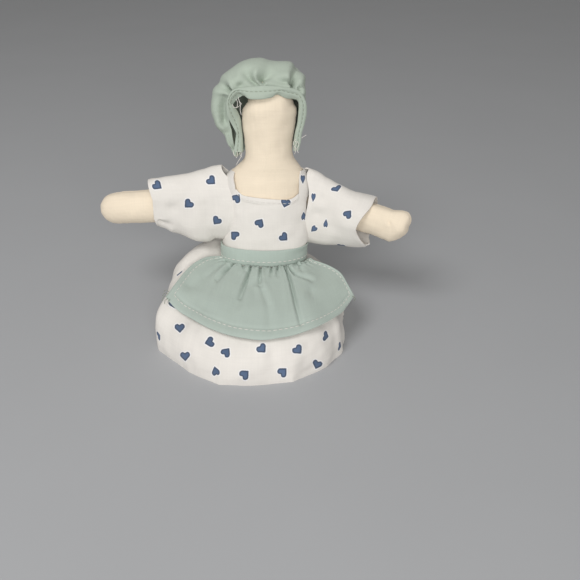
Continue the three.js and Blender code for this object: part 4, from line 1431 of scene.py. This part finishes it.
APRON_LEFT = [(224, 255), (212, 256), (203, 258), (194, 263), (186, 270.5), (176.5, 282.5), (165.5, 297)]
APRON_RIGHT = [(308, 260), (317, 261), (330, 266), (341, 273), (348, 284), (354, 296)]
APRON_BOTTOM = [(165.5, 297), (176, 309), (190, 318), (207, 327), (225, 334), (243, 338), (261, 340),
                (279, 338), (297, 334), (319, 326), (340, 314), (348, 305), (354, 296)]

# Shares of the skirt's length where the apron begins and ends; and the search for places on the skirt
APRON_TOP = 0.0404
APRON_REACH = 0.66
STEP = 1e-3
ROUNDS = 9
DAMPING = 60
STEP_LIMIT = 0.1
TURN_LIMIT = 0.4


def off_skirt(turn, down, loft):
    """Points at a height over the skirt."""
    across = skirt_points(turn + STEP, down) - skirt_points(turn - STEP, down)
    along = skirt_points(turn, down + STEP) - skirt_points(turn, np.maximum(0, down - STEP))
    return skirt_points(turn, down) + unit(np.cross(along, across)) * loft[..., None]


def taut(place, depth):
    """Depths of a cloth that stands off rather than turn steeply away from the camera at its sides."""
    depth = depth.copy()
    middle = depth.shape[1] // 2
    steps = APRON_SLOPE * gaps(place, 1)
    for k in range(middle, depth.shape[1] - 1):
        depth[:, k + 1] = np.minimum(depth[:, k + 1], depth[:, k] + steps[:, k])
    for k in range(middle, 0, -1):
        depth[:, k - 1] = np.minimum(depth[:, k - 1], depth[:, k] + steps[:, k - 1])
    return depth


def apron_points(share, v):
    """The apron lies on the skirt, fanned out from its gathers to the outline in the photograph."""
    turn = share * APRON_SPREAD
    down = mix(APRON_TOP, APRON_REACH * (1 - 0.1 * share ** 4), v)
    loft = 0.9 + 0.5 * np.minimum(1, v / 0.125) + 1.2 * ease(v / 0.14)
    loft = loft + 0.5 * (1 + np.cos(9 * turn)) / 2 * np.minimum(1, v / 0.35) ** 2
    place = pixels(off_skirt(turn, down, loft))
    right_share = (share[:1] + 1) / 2
    left = curve(APRON_LEFT, v[:, :1]) - place[:, -1:]
    right = curve(APRON_RIGHT, v[:, :1]) - place[:, :1]
    bottom = curve(APRON_BOTTOM, right_share) - place[-1:]
    rest = bottom - mix(bottom[:, -1:], bottom[:, :1], right_share[..., None])
    shift = mix(left, right, ((share + 1) / 2)[..., None]) * ease(v / 0.2)[..., None]
    place = place + shift + v[..., None] ** 1.5 * rest
    first_turn, first_down = turn, down
    for _ in range(ROUNDS):
        here = pixels(off_skirt(turn, down, loft))
        miss = place - here
        a = (pixels(off_skirt(turn + STEP, down, loft)) - here) / STEP
        b = (pixels(off_skirt(turn, down + STEP, loft)) - here) / STEP
        aa, bb, ab = ((p * q).sum(-1) + damp for p, q, damp in ((a, a, DAMPING), (b, b, DAMPING), (a, b, 0)))
        am, bm = (a * miss).sum(-1), (b * miss).sum(-1)
        whole = aa * bb - ab * ab
        turn = turn + np.clip((bb * am - ab * bm) / whole, -STEP_LIMIT, STEP_LIMIT)
        turn = np.clip(turn, first_turn - TURN_LIMIT, first_turn + TURN_LIMIT)
        down = down + np.clip((aa * bm - ab * am) / whole, -STEP_LIMIT, STEP_LIMIT)
        down = np.clip(down, np.maximum(0.03, first_down - 0.3), first_down + 0.1)
    return at_pixels(place, taut(place, distance(off_skirt(turn, down, loft))))


def hem_line(grid):
    """Rows and columns of a grid a hem's width in from its sides and its foot, from corner to corner."""
    rows, columns = grid.shape[0] - 1, grid.shape[1] - 1
    foot = int(round((1 - APRON_HEM / gaps(grid).sum(0).mean()) * rows))
    inset = np.round(APRON_HEM / gaps(grid, 1).sum(1) * columns).astype(int)
    down = range(APRON_FIRST_STITCH, foot + 1)
    left = [(k, inset[k]) for k in down]
    bottom = [(foot, k) for k in range(inset[foot], columns + 1 - inset[foot])]
    right = [(k, columns - inset[k]) for k in reversed(down)]
    return tuple(np.array(left + bottom + right).T)


class DOLL_OT_apron(Operator):
    """Sews the gathered apron and its waistband"""

    bl_idname = "doll.apron"
    bl_label = "Apron"

    def execute(self, context):
        sizes, colours = settings(context)
        cotton, thread_white = material(colours, "apron_cotton"), material(colours, "white_thread")
        pitch = sizes.stitch / MM
        rows, columns = BAND_GRID
        turn = np.linspace(-math.pi + BAND_GAP, math.pi - BAND_GAP, columns)[None, :]
        v = np.linspace(0, 1, rows)[:, None]
        layer = BAND_LAYER + BAND_FULLNESS * np.sin(math.pi * v) ** 0.6 + 0 * turn
        grid = torso_layer(turn + 0 * v, BAND_BOTTOM + BAND_WIDTH * v + 0 * turn, layer)
        grid = bulge(to_world(grid))
        normals = outward(grid)
        grid = grid + normals * ripples(grid, BAND_WAVES, 61)[..., None]
        piece = sew("apron_waistband_cloth", grid, cotton, None, sizes.cotton)
        line, lift = grid[BAND_STITCHES], normals[BAND_STITCHES]
        add_solids(piece, topstitch(line, lift, pitch, APRON_THREAD), thread_white)
        finish_cloth(piece, "torso")
        rows, columns = APRON_GRID
        share = -np.linspace(-1, 1, columns)[None, :]
        v = np.linspace(0, 1, rows)[:, None]
        grid = apron_points(share + 0 * v, v + 0 * share)
        normals = outward(grid)
        gather = bell(v, 0.16) * ease(v / 0.02)
        wave = APRON_GATHER * gather * np.cos(share * 46 + 2 * np.sin(share * 9))
        wave = wave + creases(grid, APRON_FOLDS) * ease(v / 0.03) + ripples(grid, APRON_WAVES, 71)
        edge = np.minimum((1 - v) * 38, (1 - np.abs(share)) * 60)
        roll = 0.25 * bell(edge - 1.6, 1.2) - 0.25 * bell(edge - APRON_HEM, 0.5)
        wave = np.clip(wave, -0.3 - 1.7 * ease(v / 0.14), 0.25 + 0.5 * ease(v / 0.2))
        grid = grid + normals * (wave + roll)[..., None]
        piece = sew("apron_skirt_cloth", grid, cotton, None, sizes.cotton)
        line = hem_line(grid)
        add_solids(piece, topstitch(grid[line], outward(grid)[line], pitch, APRON_THREAD), thread_white)
        add_solids(piece, [fray(path, grid) for path in APRON_FRAYS], material(colours, "cap_thread"))
        finish_cloth(piece, ("torso", "apron", *APRON_BEND))
        return {"FINISHED"}


# Cap: rows of its rim are a point in the head's frame, then how far the crown puffs out at it and behind

CAP_RIM = [
    (0, -10.4, 105, 15, 19),
    (-12.2, -8.8, 102, 19, 21),
    (-16.8, -2.8, 92, 12, 20),
    (-14.6, -1.8, 76, 7, 15),
    (-6.6, 8.75, 80, 6, 14),
    (6.6, 8.75, 80, 6, 14),
    (14.6, -1.8, 77, 4, 11),
    (14.6, -2.8, 92, 5, 14),
    (12.2, -8.8, 102, 14, 17),
]
CAP_BACK = (-2, 23, 98)
BAND_REACH = 0.31
CAP_MIDDLE = (0, 0, 92)
CAP_GRID = (120, 360)
CAP_BAND_GRID = (20, 360)
CAP_STITCHES = 11
CAP_STITCH = 2.0
CAP_THREAD = 0.14
BAND_CLEARANCE = 1.3
BAND_DEPTH = 0.82

# The cap in the photograph, in pixels: its outline, folds, the band's two edges, and loose threads
CAP_OUTLINE = (
    (262, 100),
    [(232, 152), (225, 136), (217, 126), (213, 111), (214, 92), (219, 81), (225, 74), (233, 67), (243, 61),
     (252, 58), (269, 59.5), (284, 61), (292, 63.5), (299, 68), (302.5, 75), (304, 87), (305.5, 100),
     (305, 115), (302, 128), (299, 140), (297, 150)],
    [(262, 150)],
)
CAP_FOLDS = [
    (2.0, 5.4, (257, 86), (253, 82), (247, 74)),
    (1.4, 3.2, (263, 83), (259, 78)),
    (4.0, 4.2, (262, 79), (269, 73), (275, 68)),
    (2.2, 3.0, (292, 83), (276, 81)),
    (2.2, 6.4, (293.5, 88), (294, 78), (297, 69)),
    (1.8, 2.6, (300, 91), (296, 80)),
    (2.2, 5.6, (229, 91), (221, 84)),
    (3.4, 6.6, (226, 120), (225, 108), (226, 96)),
    (2.2, 3.4, (233, 151), (234, 133), (231, 124)),
    (3.2, 2.0, (240, 86), (250, 80)),
]
BAND_OUTER = [
    (233.7, 152.5), (235.6, 138), (235.8, 132.6), (232, 125), (228, 117.3), (226.4, 108), (226.8, 100.5),
    (230, 92.8), (235, 88.8), (243, 87.6), (253.6, 86.4), (265, 85.6), (276.5, 86.2), (284.2, 87.5),
    (291.8, 88.3), (298.7, 90.6), (303.3, 95.9), (306.4, 103.6), (306.7, 113.5), (304.8, 123.5),
    (301.8, 134.2), (301, 141.8), (298.7, 151),
]
BAND_INNER = [
    (242.8, 151.8), (242.8, 138), (241.7, 127.3), (240.6, 118.9), (237.5, 111.2), (233.7, 105.9),
    (231.2, 102.4), (234.2, 96.7), (239, 93.6), (244.4, 95.9), (249.7, 99), (261.2, 99.3), (271.9, 97.4),
    (277.3, 94.6), (285.7, 98.2), (293, 99), (297.3, 100.5), (298.7, 105), (298.3, 113.5), (297.2, 123.5),
    (294.9, 132.6), (293.7, 141.8), (293.3, 151),
]
CAP_FRAYS = [
    ((238.5, 97), (239, 100.5), (241.7, 104.3)),
    ((232.5, 104), (233.7, 107.4), (238.3, 106.8), (241.3, 103.4)),
    ((239, 101), (240.4, 105), (240.2, 110), (241.3, 115)),
    ((236, 99), (237.6, 103), (236.8, 108)),
    ((301.5, 138), (303, 137), (306.4, 134.9)),
    ((294.5, 140), (296.4, 143.2), (295, 147), (297.4, 150)),
    ((297, 141), (298.8, 145), (297, 149), (298.4, 153)),
    ((294, 146), (295.6, 150), (294.6, 154)),
    ((296, 139), (293.6, 141.6), (293.2, 145.4)),
    ((234.2, 150), (233.4, 153.6), (235.6, 156.4)),
    ((237, 151), (237.6, 154.6), (236.2, 158)),
    ((240.4, 151), (240, 154.4), (242, 157)),
    ((242, 152), (241, 156.6), (238.4, 161), (236.3, 164.7)),
]


def cap_crown(turn, v):
    """The gathered crown, from the rim round the face to the middle of the back."""
    knots = curve(CAP_RIM, turn, closed=True)
    edge, puff, spread = knots[..., :3], knots[..., 3:4], knots[..., 4:5]
    out = edge - CAP_MIDDLE
    out[..., 1] = 0
    out = unit(out)
    back = np.array(CAP_BACK)
    return bezier(v[..., None], edge, edge + out * puff + (0, 1, 0), back + out * spread, back)


def evenly(points, count):
    """Points spaced evenly along a line of points."""
    along = running(gaps(points))
    return sample(points, along, np.linspace(0, along[-1], count))


def head_ring(height):
    """Half width and half depth of the head at a height."""
    rows = np.array(HEAD)
    return [np.interp(height, rows[:, 0], rows[:, k]) for k in (1, 2)]


def band_points(share, v):
    """The folded band round the face: its edges as photographed, at the depth of the cap's rim."""
    turn = mix(BAND_REACH, -BAND_REACH, share)
    outer = curve(CAP_RIM, turn, closed=True)[..., :3]
    tall = outer[..., 2] - 7 * np.maximum(0, (outer[..., 2] - 98) / 11)
    width, depth = head_ring(tall)
    angle = np.arctan2(outer[..., 0] / width, -outer[..., 1] / depth)
    inner = np.stack([(width + BAND_CLEARANCE) * np.sin(angle), -(depth + BAND_CLEARANCE) * np.cos(angle),
                      tall], -1)
    base = to_world(inner + (outer - inner) * BAND_DEPTH * v[..., None] + (HEAD_SHIFT, 0, 0))
    edges = np.concatenate([curve(BAND_INNER, share[0]), curve(BAND_OUTER, share[0])], 1)
    edges = evenly(edges, share.shape[1])
    place = mix(edges[None, :, :2], edges[None, :, 2:], v[..., None])
    puff = 0.7 + 0.8 * np.sin(math.pi * v) ** 0.6 - 0.35 * bell(v - 0.58, 0.1)
    return at_pixels(place, distance(base) - puff - 0.12 * ripple(base, 6, 91))


class DOLL_OT_cap(Operator):
    """Sews the gathered cap, its topstitched band and its frayed ends"""

    bl_idname = "doll.cap"
    bl_label = "Cap"

    def execute(self, context):
        sizes, colours = settings(context)
        cotton = material(colours, "cap_cotton")
        rows, columns = CAP_GRID
        turn = np.linspace(1, 0, columns)[None, :]
        v = np.linspace(0, 1, rows)[:, None]
        grid = cap_crown(turn + 0 * v, v + 0 * turn)
        grid = fit_outline(to_world(grid + (HEAD_SHIFT, 0, 0)), *CAP_OUTLINE)
        grid = at_pixels(pixels(grid), distance(grid) + 1.5 * bell(v, 0.14))
        normals = outward(grid, closed=True)
        free = ease(v / 0.12) * ease((1 - v) / 0.08)
        nape = bell(turn - 0.5, 0.17)
        crimp = np.cos(TAU * turn * 47 + 3 * np.sin(TAU * turn * 5))
        gathers = mix(0.06, 0.3, nape) * crimp * bell(v - 0.06, 0.1)
        facing = ease((normals @ unit(CAMERA - grid.mean((0, 1))) + 0.2) / 0.3)
        wave = creases(grid, CAP_FOLDS) * facing + mix(0.4, 0.15, facing) * ripple(grid, 14, 81)
        grid = grid + normals * ((wave + gathers) * free)[..., None]
        grid[:, -1] = grid[:, 0]
        piece = sew("cap_crown_cloth", grid, cotton, None, sizes.cotton)
        finish_cloth(piece, "cap")
        rows, columns = CAP_BAND_GRID
        grid = band_points(np.linspace(0, 1, columns)[None, :], np.linspace(0, 1, rows)[:, None])
        piece = sew("cap_band_cloth", grid, cotton, None, sizes.cotton)
        line, lift = grid[CAP_STITCHES], outward(grid)[CAP_STITCHES]
        add_solids(piece, topstitch(line, lift, CAP_STITCH, CAP_THREAD), material(colours, "cap_thread"))
        add_solids(piece, [fray(path, grid) for path in CAP_FRAYS], material(colours, "white_thread"))
        finish_cloth(piece, "cap")
        return {"FINISHED"}


# Stage, in metres; lights are a name, a place, a size and a power in watts

FLOOR_REACH = 2.5
FLOOR_TONES = (0.97, 1.02)
FLOOR_CLOUD = (14.0, 3.0)
FLOOR_ROUGHNESS = 0.7
SKY_COLOUR = (1.0, 0.99, 0.97, 1)
SKY_STRENGTH = 0.28
LIGHTS = (("key", (-0.35, -0.45, 0.80), 0.45, 3.8), ("front", (0.10, -0.95, 0.42), 0.6, 4.9))
LIGHTS_AIM = Vector((0, 0, 0.04))
CLIP_START = 0.01


class DOLL_OT_stage(Operator):
    """Lays the floor and sets the lights and the camera"""

    bl_idname = "doll.stage"
    bl_label = "Stage"

    def execute(self, context):
        scene, colours = context.scene, context.scene.doll_colours
        scene.view_settings.view_transform = "Standard"
        mesh = bpy.data.meshes.new("floor")
        corners = [(x * FLOOR_REACH, y * FLOOR_REACH, 0) for x, y in ((-1, -1), (1, -1), (1, 1), (-1, 1))]
        mesh.from_pydata(corners, [], [(0, 1, 2, 3)])
        made = Nodes("floor")
        cloud = made.noise(made.place(), *FLOOR_CLOUD)
        tone = made.blend(cloud, *(colour4(colours.floor, share) for share in FLOOR_TONES))
        made.shade({"Base Color": tone, "Roughness": FLOOR_ROUGHNESS})
        mesh.materials.append(made.material)
        floor = bpy.data.objects.new("floor", mesh)
        scene.collection.objects.link(floor)
        world = scene.world or bpy.data.worlds.new("studio")
        scene.world = world
        world.use_nodes = True
        sky = world.node_tree.nodes["Background"]
        sky.inputs["Color"].default_value = SKY_COLOUR
        sky.inputs["Strength"].default_value = SKY_STRENGTH
        for name, place, size, power in LIGHTS:
            lamp = bpy.data.lights.new(name, "AREA")
            lamp.shape = "DISK"
            lamp.size = size
            lamp.energy = power
            light = bpy.data.objects.new(name, lamp)
            light.location = place
            light.rotation_euler = (LIGHTS_AIM - Vector(place)).to_track_quat("-Z", "Y").to_euler()
            scene.collection.objects.link(light)
        view = bpy.data.cameras.new("camera")
        view.sensor_width = SENSOR
        view.lens = FOCAL_PIXELS * SENSOR / PICTURE
        view.clip_start = CLIP_START
        camera = bpy.data.objects.new("camera", view)
        camera.location = CAMERA * MM
        camera.rotation_euler = (CAMERA_TILT, 0, 0)
        scene.collection.objects.link(camera)
        scene.camera = camera
        return {"FINISHED"}


OPERATORS = (
    DOLL_OT_stage, DOLL_OT_torso, DOLL_OT_head, DOLL_OT_arms, DOLL_OT_legs, DOLL_OT_bodice,
    DOLL_OT_sleeves, DOLL_OT_skirt, DOLL_OT_apron, DOLL_OT_cap,
)


class DOLL_PT_panel(Panel):
    """Lists the doll's pieces, colours and sizes"""

    bl_idname = "DOLL_PT_panel"
    bl_label = "Rag doll"
    bl_space_type = "VIEW_3D"
    bl_region_type = "UI"
    bl_category = "Rag doll"

    def draw(self, context):
        for group in (context.scene.doll_colours, context.scene.doll_sizes):
            box = self.layout.box()
            for name in group.__annotations__:
                box.prop(group, name)
        for operator in OPERATORS:
            self.layout.operator(operator.bl_idname)


CLASSES = (DollColours, DollSizes, *OPERATORS, DOLL_PT_panel)


def register():
    for item in CLASSES:
        bpy.utils.register_class(item)
    bpy.types.Scene.doll_colours = PointerProperty(type=DollColours)
    bpy.types.Scene.doll_sizes = PointerProperty(type=DollSizes)


def unregister():
    del bpy.types.Scene.doll_sizes
    del bpy.types.Scene.doll_colours
    for item in reversed(CLASSES):
        bpy.utils.unregister_class(item)


def main():
    """Makes the whole doll."""
    register()
    bpy.ops.doll.stage()
    bpy.ops.doll.torso()
    bpy.ops.doll.head()
    bpy.ops.doll.arms()
    bpy.ops.doll.legs()
    bpy.ops.doll.bodice()
    bpy.ops.doll.sleeves()
    bpy.ops.doll.skirt()
    bpy.ops.doll.apron()
    bpy.ops.doll.cap()


if __name__ == "__main__":
    main()
